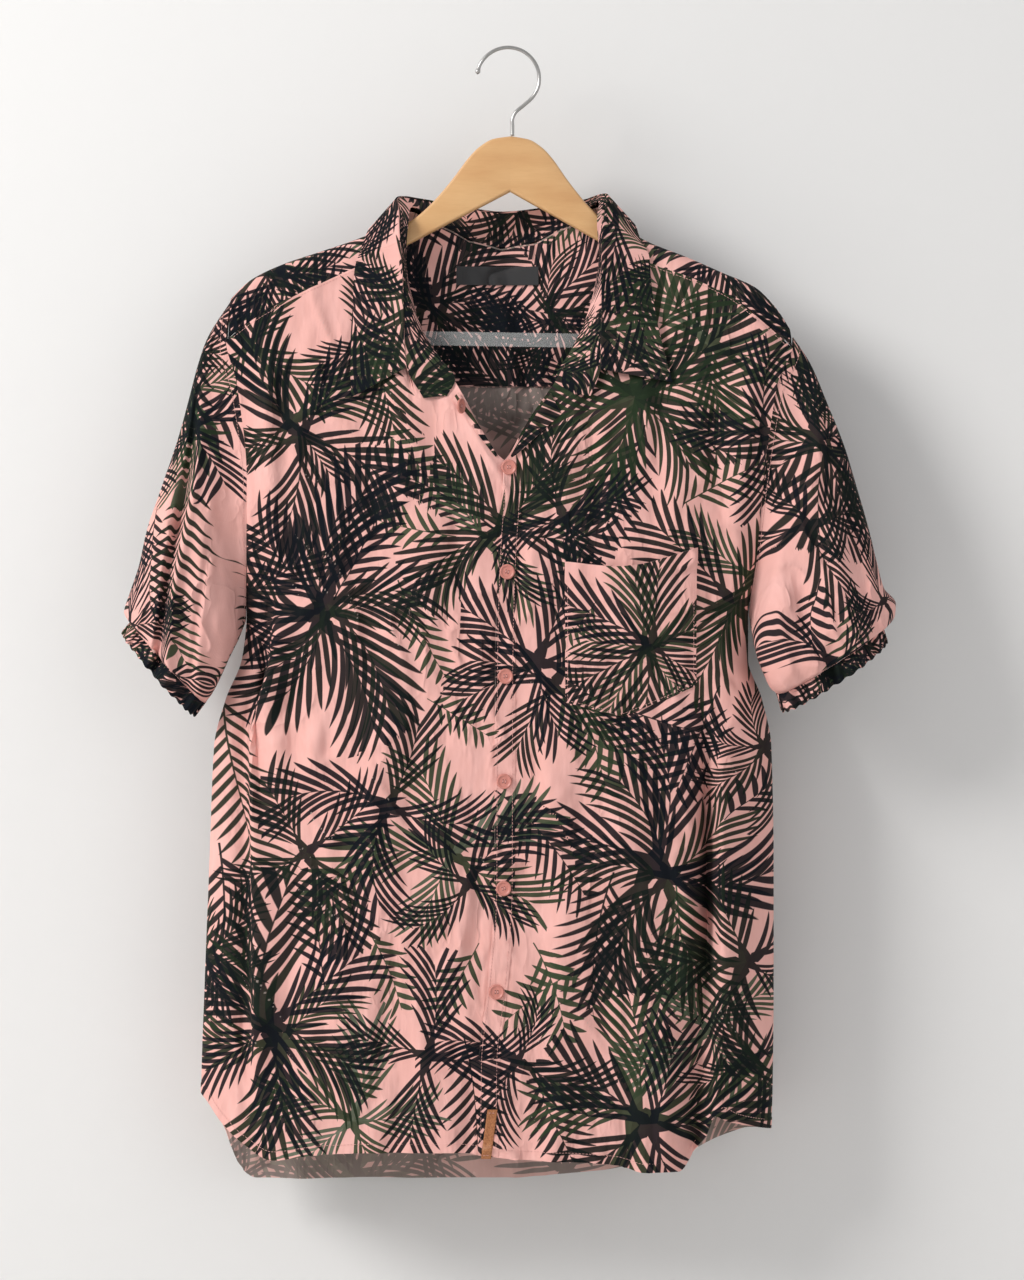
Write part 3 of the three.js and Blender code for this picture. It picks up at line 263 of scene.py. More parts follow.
def along(rows, key, value, at):
    """Value of a column where the key column reaches at, on a curve that never overshoots."""
    t, y = rows[key], rows[value]
    if t[-1] < t[0]:
        t, y = t[::-1], y[::-1]
    x = np.clip(at, t[0], t[-1])
    i = np.clip(np.searchsorted(t, x, side="right") - 1, 0, len(t) - 2)
    h = np.diff(t)
    d = np.diff(y) / h
    product = d[:-1] * d[1:]
    total = np.where(product > 0, d[:-1] + d[1:], 1)
    m = np.concatenate([d[:1], np.where(product > 0, 2 * product / total, 0), d[-1:]])
    s = (x - t[i]) / h[i]
    rise = (1 + 2 * s) * (1 - s) ** 2 * y[i] + s * s * (3 - 2 * s) * y[i + 1]
    return rise + s * (1 - s) * h[i] * ((1 - s) * m[i] - s * m[i + 1])


def on_line(rows, share):
    steps = np.hypot(np.diff(rows["x"]), np.diff(rows["z"]))
    length = np.concatenate([[0], np.cumsum(steps)])
    marked = {"s": length, "x": rows["x"], "z": rows["z"]}
    at = np.asarray(share) * length[-1]
    return along(marked, "s", "x", at), along(marked, "s", "z", at)


def meet(edge, column, low, high):
    """The height at which each column meets an edge."""
    for _ in range(30):
        middle = (low + high) / 2
        above = along(edge, "x", "z", column(middle)) > middle
        low, high = np.where(above, middle, low), np.where(above, high, middle)
    return (low + high) / 2


def catmull(points, share):
    """A smooth line through the points, eased by the square root of their distances."""
    points = np.array(points, float)
    first = 2 * points[0] - points[1]
    last = 2 * points[-1] - points[-2]
    padded = np.vstack([first, points, last])
    at = np.clip(np.asarray(share, float), 0, 1) * (len(points) - 1)
    i = np.minimum(np.floor(at).astype(int), len(points) - 2)
    w = (at - i)[..., None]
    p = [padded[i + k] for k in range(4)]
    step = [np.maximum(np.linalg.norm(p[k + 1] - p[k], axis=-1, keepdims=True) ** 0.5, 1e-4)
            for k in range(3)]
    t1 = (p[1] - p[0]) / step[0] - (p[2] - p[0]) / (step[0] + step[1]) + (p[2] - p[1]) / step[1]
    t2 = (p[2] - p[1]) / step[1] - (p[3] - p[1]) / (step[1] + step[2]) + (p[3] - p[2]) / step[2]
    t1, t2 = t1 * step[1], t2 * step[1]
    c2 = -3 * p[1] + 3 * p[2] - 2 * t1 - t2
    c3 = 2 * p[1] - 2 * p[2] + t1 + t2
    return p[1] + t1 * w + c2 * w ** 2 + c3 * w ** 3


# Fields of small creases over the cloth: the width and height of their cells, and their weight
WANDER = (60, 90, 14)
STREAK = (15, 85, 3.0)
CROSS = (26, 34, 4.6)
FINE = (7, 16, 0.7)
PATCH = (55, 70, 0.5)


def noise(x, z, size_x, size_z, seed):
    cells = 64
    grid = np.random.default_rng(seed).uniform(-1, 1, (cells, cells))
    u, v = x / size_x + 10 * cells, z / size_z + 10 * cells
    i, j = np.floor(u).astype(int), np.floor(v).astype(int)
    fu, fv = u - i, v - j
    fu, fv = fu * fu * (3 - 2 * fu), fv * fv * (3 - 2 * fv)
    top = lerp(grid[i % cells, j % cells], grid[(i + 1) % cells, j % cells], fu)
    low = lerp(grid[i % cells, (j + 1) % cells], grid[(i + 1) % cells, (j + 1) % cells], fu)
    return lerp(top, low, fv)


def crumple(x, z, seed):
    """Soft upright streaks with short sharper wrinkles between them, a few millimetres deep."""
    wander = WANDER[2] * noise(x, z, *WANDER[:2], seed + 3)
    streak = noise(x + wander, z, *STREAK[:2], seed)
    cross = 1 - np.abs(noise(x + 0.5 * z + wander, z - 0.3 * x, *CROSS[:2], seed + 1))
    fine = noise(x + wander, z, *FINE[:2], seed + 2)
    patch = PATCH[2] + PATCH[2] * noise(x, z, *PATCH[:2], seed + 4)
    return STREAK[2] * streak + CROSS[2] * patch * cross ** 4 + FINE[2] * fine


def placed_creases(rows, x, z):
    total = np.zeros(np.broadcast(x, z).shape)
    for row in rows:
        c = dict(zip(CREASE_NAMES, row))
        turn = math.radians(c["turn"])
        dx, dz = x - c["x"], z - c["z"]
        down = dx * math.sin(turn) + dz * math.cos(turn)
        over = dx * math.cos(turn) - dz * math.sin(turn)
        taper = np.clip(1 - (2 * down / c["length"]) ** 2, 0, 1) ** 2
        total = total + c["depth"] * np.exp(-((over / c["width"]) ** 2)) * taper
    return CREASE_GAIN * total


# The body's two layers
def shoulder_z(x):
    return along(SHOULDER, "x", "z", x)


def side_x(sign, z):
    return along(TORSO, "z", "left" if sign < 0 else "right", z)


def armhole_open(sign, z):
    top, base = ARMHOLE_TOP[sign], UNDERARM[sign]
    return 1 - np.clip((top - z) / (top - base), 0, 1) ** 3


def across_body(x, z):
    left, right = side_x(-1, z), side_x(1, z)
    return np.clip((2 * x - left - right) / (right - left), -1, 1)


def small_creases(face, x, z):
    """The creases of a layer, which fade out at its side edges and at the shoulder line."""
    small = crumple(x, z, SEED if face < 0 else SEED + 20)
    small = small + placed_creases(CREASES["front" if face < 0 else "back"], x, z)
    drop = np.maximum(shoulder_z(x) - z, 0)
    return small * (1 - smooth(0.88, 1, np.abs(across_body(x, z)))) * smooth(2, 40, drop)


def layer_y(face, x, z):
    """How far the front (-1) or back (+1) layer lies from the hanger's plane, with its creases."""
    drop = np.maximum(shoulder_z(x) - z, 0)
    full = along(TORSO, "z", "front" if face < 0 else "back", z)
    crest = CREST * np.sqrt(1 - (1 - np.minimum(drop / CREST, 1)) ** 2)
    depth = crest + (full - CREST) * (1 - np.exp(-drop / SHOULDER_FALL))
    if face > 0:
        nape = ((x - NAPE["x"]) / NAPE["wide"]) ** 2 + ((z - NAPE["z"]) / NAPE["high"]) ** 2
        depth = depth + NAPE["out"] * np.exp(-nape)
    across = across_body(x, z)
    open_share = np.where(across < 0, armhole_open(-1, z), armhole_open(1, z))
    depth = depth * (open_share + (1 - open_share) * np.sqrt(1 - np.abs(across) ** 3))
    return face * (depth + small_creases(face, x, z))


def fold_at(panel, share, z):
    out, lean = 0, 0
    for row in FOLDS[panel]:
        f = dict(zip(FOLD_NAMES, row))
        way = np.clip((f["top"] - z) / (f["top"] + 960), 0, 1)
        bell = np.exp(-(((share - lerp(f["at"], f["at_hem"], way)) / f["width"]) ** 2))
        kept = smooth(f["top"] + FOLD_FADE, f["top"] - FOLD_FADE, z)
        kept = kept * smooth(f["bottom"] - FOLD_FADE, f["bottom"] + FOLD_FADE, z)
        out = out + f["depth"] * bell * kept
        lean = lean + f["lean"] * bell * kept
    return out, lean


def lap_x(z):
    return along(LAP, "z", "x", z)


def start_x(name, z):
    return lap_x(z) + (UNDERLAP if name == "right_front" else 0)


def sign_of(name):
    return -1 if name == "right_front" else 1


def front_point(name, share, z, out=0):
    """Points of a front panel moved out, and where they lie on the flat cloth."""
    x = lerp(start_x(name, z), side_x(sign_of(name), z), share)
    fold, lean = fold_at(name, share, z)
    under = 2.4 * smooth(lap_x(z) - 26, lap_x(z) - 4, x) if name == "right_front" else 0
    edge = 1 - smooth(0.93, 1, share)
    y = layer_y(-1, x, z) - fold * edge + under - out
    return np.stack([x + lean, y, z + 0 * x], -1), np.stack([x, z + 0 * x], -1)


def on_front(name, x, z, out):
    """The same face at a given x, for what lies on the panel."""
    x, z = np.broadcast_arrays(np.asarray(x, float), np.asarray(z, float))
    start = start_x(name, z)
    share = np.clip((x - start) / (side_x(sign_of(name), z) - start), 0, 1)
    points, _ = front_point(name, share, z, out)
    points[..., 0] = x
    return points, np.stack([x, z], -1)


# Meshes from grids of points
def shares(columns, rows):
    return np.meshgrid(np.linspace(0, 1, columns), np.linspace(0, 1, rows))


def run_length(path):
    """How far along a path each of its points lies."""
    return np.concatenate([[0], np.cumsum(np.linalg.norm(np.diff(path, axis=0), axis=1))])


def loft_faces(rings, sides):
    """Faces between rings of points, one after the other."""
    faces = []
    for i in range(rings - 1):
        for j in range(sides):
            k = (j + 1) % sides
            faces.append([i * sides + j, i * sides + k, (i + 1) * sides + k, (i + 1) * sides + j])
    return faces


def closed_loft(rings, sides):
    last = (rings - 1) * sides
    return loft_faces(rings, sides) + [list(range(sides))[::-1], list(range(last, last + sides))]


def grid_normals(grid, wrap):
    if wrap:
        right, left = np.roll(grid, -1, 1), np.roll(grid, 1, 1)
    else:
        right = np.concatenate([grid[:, 1:], grid[:, -1:]], 1)
        left = np.concatenate([grid[:, :1], grid[:, :-1]], 1)
    down = np.concatenate([grid[1:], grid[-1:]])
    up = np.concatenate([grid[:1], grid[:-1]])
    normal = np.cross(right - left, down - up)
    return normal / np.maximum(np.linalg.norm(normal, axis=-1, keepdims=True), 1e-9)


def make_object(name, points, faces):
    mesh = bpy.data.meshes.new(name)
    mesh.from_pydata((np.asarray(points) * MM).tolist(), [], faces)
    mesh.shade_smooth()
    piece = bpy.data.objects.new(name, mesh)
    bpy.context.scene.collection.objects.link(piece)
    return piece


def assign(piece, node, material):
    """Gives a piece its material and says which node it stands for."""
    piece.data.materials.append(material)
    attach(piece, "root")
    if node:
        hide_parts(node)
    return piece


def shell(name, grid, flat, outward=1, thick=CLOTH, lift=LIFT, wrap=False, inside=1.0):
    """A thin closed sheet: lift off the grid and thick, on the side that outward says."""
    rows, cols = grid.shape[:2]
    normals = grid_normals(grid, wrap) * outward
    thick = np.broadcast_to(np.asarray(thick, float), (rows, cols))[..., None]
    outer = (grid + normals * (lift + thick)).reshape(-1, 3)
    inner = (grid + normals * lift).reshape(-1, 3)
    index = np.arange(rows * cols).reshape(rows, cols)
    over = np.concatenate([index, index[:, :1]], 1) if wrap else index
    a, b, c, d = over[:-1, :-1], over[:-1, 1:], over[1:, 1:], over[1:, :-1]
    sheet = np.stack([a, b, c, d], -1).reshape(-1, 4)
    count = rows * cols
    rims = [
        np.stack([over[0, 1:], over[0, :-1], over[0, :-1] + count, over[0, 1:] + count], -1),
        np.stack([over[-1, :-1], over[-1, 1:], over[-1, 1:] + count, over[-1, :-1] + count], -1),
    ]
    if not wrap:
        rims += [
            np.stack([over[:-1, 0], over[1:, 0], over[1:, 0] + count, over[:-1, 0] + count], -1),
            np.stack([over[1:, -1], over[:-1, -1], over[:-1, -1] + count, over[1:, -1] + count], -1),
        ]
    faces = np.concatenate([sheet, sheet[:, ::-1] + count, *rims])
    if outward < 0:
        faces = faces[:, ::-1]
    piece = make_object(name, np.concatenate([outer, inner]), faces.tolist())
    piece.data.set_sharp_from_angle(angle=math.radians(55))
    flat_both = np.tile(flat.reshape(-1, 2), (2, 1))
    place = piece.data.attributes.new("flat", "FLOAT_VECTOR", "POINT")
    place.data.foreach_set("vector", np.c_[flat_both * MM, np.zeros(2 * count)].ravel())
    paler = piece.data.attributes.new("inside", "FLOAT", "POINT")
    paler.data.foreach_set("value", np.repeat([0.0, inside], count))
    return piece


# The print: leaves laid out on the flat cloth
BURST = "burst"
FROND = "frond"
# A burst is a ring of long fronds from one hub. The columns are the kind, x and z of the hub or of the
# stem's foot, the reach, the turn from upright (clockwise), the count of fronds in the ring or of
# leaflets down each side, the leaflets' length as a share of the reach, and the tint from 0 (black)
# to 1 (grey-green)
LEAF_NAMES = "kind x z reach turn count half tint".split()
FRONT_LEAVES = [
    (BURST, -182, -335, 103, 10, 5, 0.42, 0.08), (BURST, -188, -322, 87, -150, 4, 0.42, 0.3),
    (BURST, -158, -478, 125, 55, 6, 0.42, 0.05), (BURST, -164, -490, 108, 190, 5, 0.42, 0.05),
    (FROND, -150, -470, 96, 30, 9, 0.36, 0.0), (FROND, -96, -462, 92, 158, 9, 0.22, 0.62),
    (BURST, -106, -650, 94, 60, 4, 0.42, 0.0), (BURST, -176, -690, 87, -32, 4, 0.42, 0.05),
    (FROND, -110, -660, 110, -140, 10, 0.34, 0.5), (BURST, -52, -690, 94, -10, 5, 0.42, 0.62),
    (BURST, -38, -716, 83, 170, 4, 0.42, 0.08), (BURST, -204, -836, 121, -15, 6, 0.42, 0.05),
    (BURST, -196, -850, 101, 100, 5, 0.42, 0.3), (FROND, -160, -800, 90, -8, 9, 0.36, 0.0),
    (BURST, -136, -918, 94, 40, 5, 0.42, 0.66), (BURST, -72, -862, 83, -60, 4, 0.42, 0.0),
    (FROND, -40, -850, 96, 168, 9, 0.36, 0.1), (FROND, -30, -770, 70, -150, 7, 0.34, 0.6),
    (FROND, -18, -412, 118, -52, 11, 0.33, 0.0), (BURST, -6, -414, 87, 60, 5, 0.42, 0.05),
    (BURST, -22, -424, 81, -115, 4, 0.42, 0.55), (FROND, -52, -420, 72, -82, 7, 0.32, 0.64),
    (BURST, -236, -470, 78, 20, 4, 0.42, 0.02), (FROND, -248, -560, 150, 176, 14, 0.3, 0.3),
    (FROND, -250, -690, 150, 172, 12, 0.3, 0.05), (FROND, -70, -560, 60, 120, 7, 0.34, 0.62),
    (BURST, -225, -255, 83, 150, 4, 0.42, 0.45), (BURST, -120, -255, 78, 165, 4, 0.42, 0.2),
    (FROND, -110, -330, 80, 130, 8, 0.34, 0.55), (BURST, -262, -780, 67, 60, 6, 0.42, 0.1),
    (BURST, 104, -302, 116, 105, 6, 0.42, 0.35), (BURST, 112, -296, 103, -130, 5, 0.42, 0.08),
    (BURST, 168, -256, 103, 60, 5, 0.42, 0.6), (FROND, 112, -330, 100, 196, 10, 0.34, 0.0),
    (BURST, 44, -404, 74, 140, 4, 0.42, 0.02), (BURST, 190, -478, 103, 20, 6, 0.42, 0.2),
    (BURST, 205, -455, 87, -150, 4, 0.42, 0.55), (BURST, 20, -528, 94, 100, 5, 0.42, 0.0),
    (BURST, 34, -548, 85, -30, 4, 0.42, 0.1), (FROND, 36, -556, 104, 138, 10, 0.34, 0.55),
    (FROND, 60, -560, 84, 165, 8, 0.32, 0.62), (FROND, 76, -560, 110, 112, 11, 0.32, 0.05),
    (FROND, 176, -552, 96, 205, 9, 0.36, 0.0), (BURST, 118, -700, 125, -20, 4, 0.42, 0.0),
    (BURST, 132, -712, 112, 130, 6, 0.42, 0.2), (FROND, 140, -720, 118, 176, 13, 0.3, 0.75),
    (FROND, 84, -712, 120, -160, 13, 0.36, 0.1), (FROND, -10, -640, 112, 128, 10, 0.34, 0.05),
    (FROND, 20, -770, 84, 150, 8, 0.34, 0.6), (FROND, 60, -786, 84, -118, 8, 0.32, 0.62),
    (BURST, 104, -912, 121, -45, 4, 0.42, 0.5), (BURST, 118, -922, 101, 30, 5, 0.42, 0.05),
    (BURST, 4, -866, 78, 70, 4, 0.42, 0.02), (FROND, 20, -880, 90, 160, 9, 0.34, 0.1),
    (BURST, 202, -784, 87, 10, 5, 0.42, 0.05), (FROND, 190, -660, 60, 40, 6, 0.4, 0.0),
    (BURST, 168, -842, 78, 110, 4, 0.42, 0.7), (BURST, 206, -868, 74, -30, 4, 0.42, 0.05),
    (FROND, 60, -470, 66, -20, 7, 0.34, 0.62), (BURST, 215, -330, 74, -120, 4, 0.42, 0.1),
    (FROND, 150, -390, 90, 60, 9, 0.34, 0.5), (BURST, 215, -600, 67, -60, 6, 0.42, 0.1),
    (FROND, 130, -790, 80, -170, 8, 0.34, 0.02), (FROND, -120, -760, 70, 150, 7, 0.34, 0.6),
]
SLEEVE_LEAVES = [
    (BURST, -262, -330, 83, -160, 4, 0.42, 0.05), (BURST, -275, -300, 90, 190, 4, 0.42, 0.6),
    (FROND, -252, -380, 120, -168, 12, 0.32, 0.3), (FROND, -300, -400, 96, 170, 10, 0.32, 0.05),
    (FROND, -262, -470, 74, 178, 8, 0.3, 0.62), (BURST, -318, -500, 78, 40, 4, 0.42, 0.02),
    (BURST, -268, -548, 74, -10, 4, 0.42, 0.05), (BURST, -300, -250, 67, 120, 6, 0.42, 0.1),
    (BURST, 250, -338, 103, 60, 5, 0.42, 0.05), (BURST, 262, -352, 87, 175, 5, 0.42, 0.3),
    (FROND, 280, -370, 96, 160, 10, 0.34, 0.0), (BURST, 228, -420, 78, 180, 4, 0.42, 0.15),
    (FROND, 262, -470, 84, 172, 8, 0.34, 0.6), (BURST, 310, -478, 74, -70, 4, 0.42, 0.05),
    (BURST, 250, -540, 78, 60, 4, 0.42, 0.05), (FROND, 232, -470, 60, -170, 7, 0.34, 0.05),
    (BURST, 252, -270, 74, 140, 4, 0.42, 0.5),
]
POCKET_LEAVES = [
    (BURST, 119, -514, 92, 70, 6, 0.42, 0.1), (BURST, 113, -517, 74, 220, 5, 0.42, 0.5),
    (FROND, 70, -478, 44, 215, 6, 0.36, 0.6), (FROND, 74, -560, 50, -60, 7, 0.34, 0.05),
    (FROND, 126, -556, 50, 100, 7, 0.34, 0.05),
]


def scattered_leaves(low, high, pitch, seed, size=1.0):
    """The same leaves over a stretch of cloth, in uneven rows of groups."""
    rng = np.random.default_rng(seed)
    leaves = []
    for row, z in enumerate(np.arange(low[1], high[1] + pitch, pitch * 0.86)):
        for x in np.arange(low[0] - pitch, high[0] + pitch, pitch):
            px = x + (row % 2) * pitch / 2 + rng.uniform(-0.2, 0.2) * pitch
            pz = z + rng.uniform(-0.2, 0.2) * pitch
            turn = rng.uniform(0, 360)
            reach = size * rng.uniform(74, 108)
            tint = rng.choice([0.0, 0.05, 0.1, 0.3, 0.6])
            leaves.append((BURST, px, pz, reach, turn, rng.integers(4, 7), 0.42, tint))
            if rng.random() < 0.75:
                leaves.append((BURST, px + 9, pz - 14, reach * 0.9, turn + 35, 5, 0.42, 0.04))
            for k in range(rng.integers(1, 3)):
                away = turn + 70 + 130 * k + rng.uniform(-25, 25)
                foot = math.radians(away)
                fx = px + 0.25 * reach * math.sin(foot)
                fz = pz + 0.25 * reach * math.cos(foot)
                leaf_tint = rng.choice([0.0, 0.05, 0.55, 0.62, 0.66])
                leaves.append((FROND, fx, fz, reach, away, rng.integers(8, 12), 0.34, leaf_tint))
    return leaves


LAYERS = {BURST: 5, FROND: 3}
FAR = (9.0, 9.0, 0.0)
LEAF_REACH = 130


def print_leaves(piece, flat, leaves):
    """Gives each corner its place within the leaf that covers its face, one leaf a layer."""
    mesh = piece.data
    corners = np.empty(len(mesh.loops), np.int64)
    mesh.loops.foreach_get("vertex_index", corners)
    flat = np.tile(flat.reshape(-1, 2), (2, 1))[corners]
    low, high = flat.min(0), flat.max(0)
    rows = [dict(zip(LEAF_NAMES, leaf)) for leaf in leaves]
    for kind, layers in LAYERS.items():
        places = [np.tile(np.array(FAR), (len(corners), 1)) for _ in range(layers)]
        taken = np.zeros((layers, len(corners) // 4), bool)
        ranked = [(n, leaf) for n, leaf in enumerate(rows) if leaf["kind"] == kind]
        for n, leaf in sorted(ranked, key=lambda pair: -pair[1]["tint"]):
            centre = np.array([leaf["x"], leaf["z"]])
            if (centre < low - LEAF_REACH).any() or (centre > high + LEAF_REACH).any():
                continue
            turn = math.radians(leaf["turn"])
            away = flat - centre
            side = (away[:, 0] * math.cos(turn) - away[:, 1] * math.sin(turn)) / leaf["reach"]
            up = (away[:, 0] * math.sin(turn) + away[:, 1] * math.cos(turn)) / leaf["reach"]
            if kind == BURST:
                near = np.hypot(side, up) < 1.1
            else:
                near = (np.abs(side) < leaf["half"] + 0.12) & (up > -0.1) & (up < 1.05)
            faces = near.reshape(-1, 4).any(1)
            if not faces.any():
                continue
            clashes = [(taken[k] & faces).sum() for k in range(layers)]
            k = next((k for k, clash in enumerate(clashes) if clash == 0), int(np.argmin(clashes)))
            faces = faces & ~taken[k]
            taken[k] |= faces
            own = np.repeat(faces, 4)
            shade = round(100 * leaf["tint"]) + n % 5
            code = 10000 * int(leaf["count"]) + 100 * round(100 * leaf["half"]) + shade + 0.5
            places[k][own] = np.c_[side, up, np.full(len(up), code)][own]
        for k in range(layers):
            layer = mesh.attributes.new(f"{kind}_{k}", "FLOAT_VECTOR", "CORNER")
            layer.data.foreach_set("vector", places[k].ravel())


# Node trees written as formulas
def operation(word, turned=False):
    """A method that adds one math node; turned, the wire comes after the other value."""
    def method(wire, *others):
        values = (*others, wire) if turned else (wire, *others)
        return compute(wire.tree, word, *values)
    return method


class Wire:
    """A number in a node tree."""

    def __init__(self, tree, socket):
        self.tree = tree
        self.socket = socket

    __add__ = operation("ADD")
    __sub__ = operation("SUBTRACT")
    __rsub__ = operation("SUBTRACT", True)
    __mul__ = operation("MULTIPLY")
    __rmul__ = operation("MULTIPLY", True)
    __truediv__ = operation("DIVIDE")
    __pow__ = operation("POWER")
    __abs__ = operation("ABSOLUTE")
    above = operation("GREATER_THAN")
    below = operation("LESS_THAN")
    least = operation("MAXIMUM")
    most = operation("MINIMUM")
    whole = operation("FLOOR")
    root = operation("SQRT")
    sine = operation("SINE")
    cosine = operation("COSINE")

    def edge(self, width):
        """1 where the number is above the width, 0 below 0, with a soft step between."""
        node = self.tree.nodes.new("ShaderNodeMapRange")
        self.tree.links.new(self.socket, node.inputs["Value"])
        node.inputs["From Max"].default_value = width
        return Wire(self.tree, node.outputs["Result"])


def compute(tree, operation, *values):
    node = tree.nodes.new("ShaderNodeMath")
    node.operation = operation
    for socket, value in zip(node.inputs, values):
        feed(tree, socket, value)
    return Wire(tree, node.outputs[0])


def feed(tree, socket, value):
    if isinstance(value, Wire):
        tree.links.new(value.socket, socket)
    else:
        socket.default_value = value


def random_of(tree, number):
    node = tree.nodes.new("ShaderNodeTexWhiteNoise")
    node.noise_dimensions = "1D"
    feed(tree, node.inputs["W"], number)
    split = tree.nodes.new("ShaderNodeSeparateColor")
    tree.links.new(node.outputs["Color"], split.inputs[0])
    return [Wire(tree, split.outputs[k]) for k in range(3)]


def leaf_group(name):
    """An empty group that takes a leaf's place, with its two numbers and what its code stands for."""
    tree = bpy.data.node_groups.new(name, "ShaderNodeTree")
    tree.interface.new_socket("Place", in_out="INPUT", socket_type="NodeSocketVector")
    for word in ("Mask", "Tint"):
        tree.interface.new_socket(word, in_out="OUTPUT", socket_type="NodeSocketFloat")
    entry = tree.nodes.new("NodeGroupInput")
    split = tree.nodes.new("ShaderNodeSeparateXYZ")
    tree.links.new(entry.outputs[0], split.inputs[0])
    x, y, code = [Wire(tree, out) for out in split.outputs]
    code = code.whole()
    seed = random_of(tree, code)[0]
    upper = (code / 100).whole()
    count = (upper / 100).whole()
    half = (upper - count * 100) / 100
    tint = (code - upper * 100) / 100
    return tree, (x, y, seed, count, half, tint)


def close_group(tree, mask, tint):
    last = tree.nodes.new("NodeGroupOutput")
    tree.links.new(mask.socket, last.inputs["Mask"])
    tree.links.new(tint.socket, last.inputs["Tint"])
    return tree


def feather(tree, x, y, seed, pairs, half, widest, slope, bend, foot=0.0):
    """The mask and shade of a feather frond: leaflets in two rows on a bent stem, in shares of its reach.

    Slope is how far a leaflet runs forward for its distance from the stem, and foot is how fast the stem
    widens toward the hub.
    """
    over = x - bend * y * y
    aside = abs(over)
    forward = y - aside * slope + aside * aside * slope * 0.7
    hand = over.above(0)
    count = forward * pairs + hand * 0.5
    cell = count.whole()
    first, second, third = random_of(tree, cell * 2 + hand + seed * 171.3)
    offset = abs(count - cell - 0.5 - (second - 0.5) * 0.25)
    across = offset / pairs / math.hypot(slope, 1)
    middle = ((cell + 0.5 - hand * 0.5) / pairs).least(0.001)
    rise = middle ** 0.3
    fall = (1 - middle).least(0.001) ** 0.42
    length = half * rise * fall * (first * 0.3 + 1.25)
    share = (aside / length.least(0.01)).most(1)
    profile = ((1 - share) ** 0.7) * ((share + 0.08) ** 0.35) * 1.5
    leaflet = (profile * widest / pairs - across).edge(0.004)
    leaflet = leaflet * middle.above(0.02) * middle.below(0.985)
    base = (0.3 - y).least(0) * foot
    stem = (base + 0.009 - aside - y * 0.005).edge(0.004) * y.above(-0.05) * y.below(0.97)
    return leaflet.least(stem), third - share * 0.35


RING_PAIRS = 7
RING_LEAF = {"widest": 0.2, "slope": 2.0, "foot": 0.22}
SPRAY_LEAF = {"widest": 0.25, "slope": 0.9}


def burst_group():
    """A ring of long feather fronds around one hub, each bent and of its own length."""
    tree, (x, y, seed, count, half, tint) = leaf_group("Burst of fronds")
    radius = (x * x + y * y).root()
    angle = compute(tree, "ARCTAN2", x, y) + (seed - 0.5) * radius * 1.1
    turn = angle * count / (2 * math.pi) + seed
    cell = turn.whole()
    number = cell - (cell / count).whole() * count
    first, second, third = random_of(tree, number + seed * 97.1)
    away = (turn - cell - 0.5) * (2 * math.pi) / count
    reach = first * 0.45 + 0.62
    along_frond = radius * away.cosine() / reach
    beside = radius * away.sine() / reach
    bend = (second - 0.5) * 0.3
    mask, shade = feather(tree, beside, along_frond, third, RING_PAIRS, half, bend=bend, **RING_LEAF)
    return close_group(tree, mask, tint + (second - 0.45) * 0.3 + (shade - 0.3) * 0.16)


def frond_group():
    """One feather frond with few, broad leaflets."""
    tree, (x, y, seed, pairs, half, tint) = leaf_group("Feather frond")
    mask, shade = feather(tree, x, y, seed, pairs, half, bend=(seed - 0.5) * 0.5, **SPRAY_LEAF)
    return close_group(tree, mask, tint + (shade - 0.3) * 0.12)


def new_material(name, base, roughness, **sockets):
    material = bpy.data.materials.new(name)
    material.use_nodes = True
    tree = material.node_tree
    shader = tree.nodes["Principled BSDF"]
    shader.inputs["Base Color"].default_value = (*base, 1)
    shader.inputs["Roughness"].default_value = roughness
    for socket, value in sockets.items():
        shader.inputs[socket.replace("_", " ")].default_value = value
    return material, tree, shader


def attribute(tree, name):
    node = tree.nodes.new("ShaderNodeAttribute")
    node.attribute_name = name
    return node


def mix_colour(tree, factor, first, second):
    node = tree.nodes.new("ShaderNodeMix")
    node.data_type = "RGBA"
    feed(tree, node.inputs[0], factor)
    for socket, value in ((node.inputs[6], first), (node.inputs[7], second)):
        if isinstance(value, Wire):
            tree.links.new(value.socket, socket)
        else:
            socket.default_value = (*value, 1)
    return Wire(tree, node.outputs[2])


def stretched(tree, place, scale):
    node = tree.nodes.new("ShaderNodeMapping")
    node.inputs["Scale"].default_value = scale
    tree.links.new(place, node.inputs["Vector"])
    return node.outputs["Vector"]


def noise_texture(tree, vector, scale, detail=3):
    node = tree.nodes.new("ShaderNodeTexNoise")
    node.inputs["Scale"].default_value = scale
    node.inputs["Detail"].default_value = detail
    tree.links.new(vector, node.inputs["Vector"])
    return Wire(tree, node.outputs["Fac"])


def threads(tree, place, direction, pitch):
    node = tree.nodes.new("ShaderNodeTexWave")
    node.bands_direction = direction
    node.inputs["Scale"].default_value = 0.314 / pitch
    node.inputs["Distortion"].default_value = 0.6
    tree.links.new(place, node.inputs["Vector"])
    return Wire(tree, node.outputs["Fac"])


def bump(tree, shader, height, strength, distance):
    node = tree.nodes.new("ShaderNodeBump")
    node.inputs["Strength"].default_value = strength
    node.inputs["Distance"].default_value = distance
    tree.links.new(height.socket, node.inputs["Height"])
    tree.links.new(node.outputs["Normal"], shader.inputs["Normal"])


PINK = (0.86, 0.49, 0.445)
PINK_DEEP = (0.77, 0.40, 0.35)
LEAF_TINTS = [(0.0, (0.006, 0.008, 0.012)), (0.2, (0.008, 0.012, 0.011)), (0.5, (0.021, 0.036, 0.017)),
              (0.75, (0.05, 0.072, 0.038)), (1.0, (0.16, 0.19, 0.14))]
WEAVE_PITCH = 0.0006


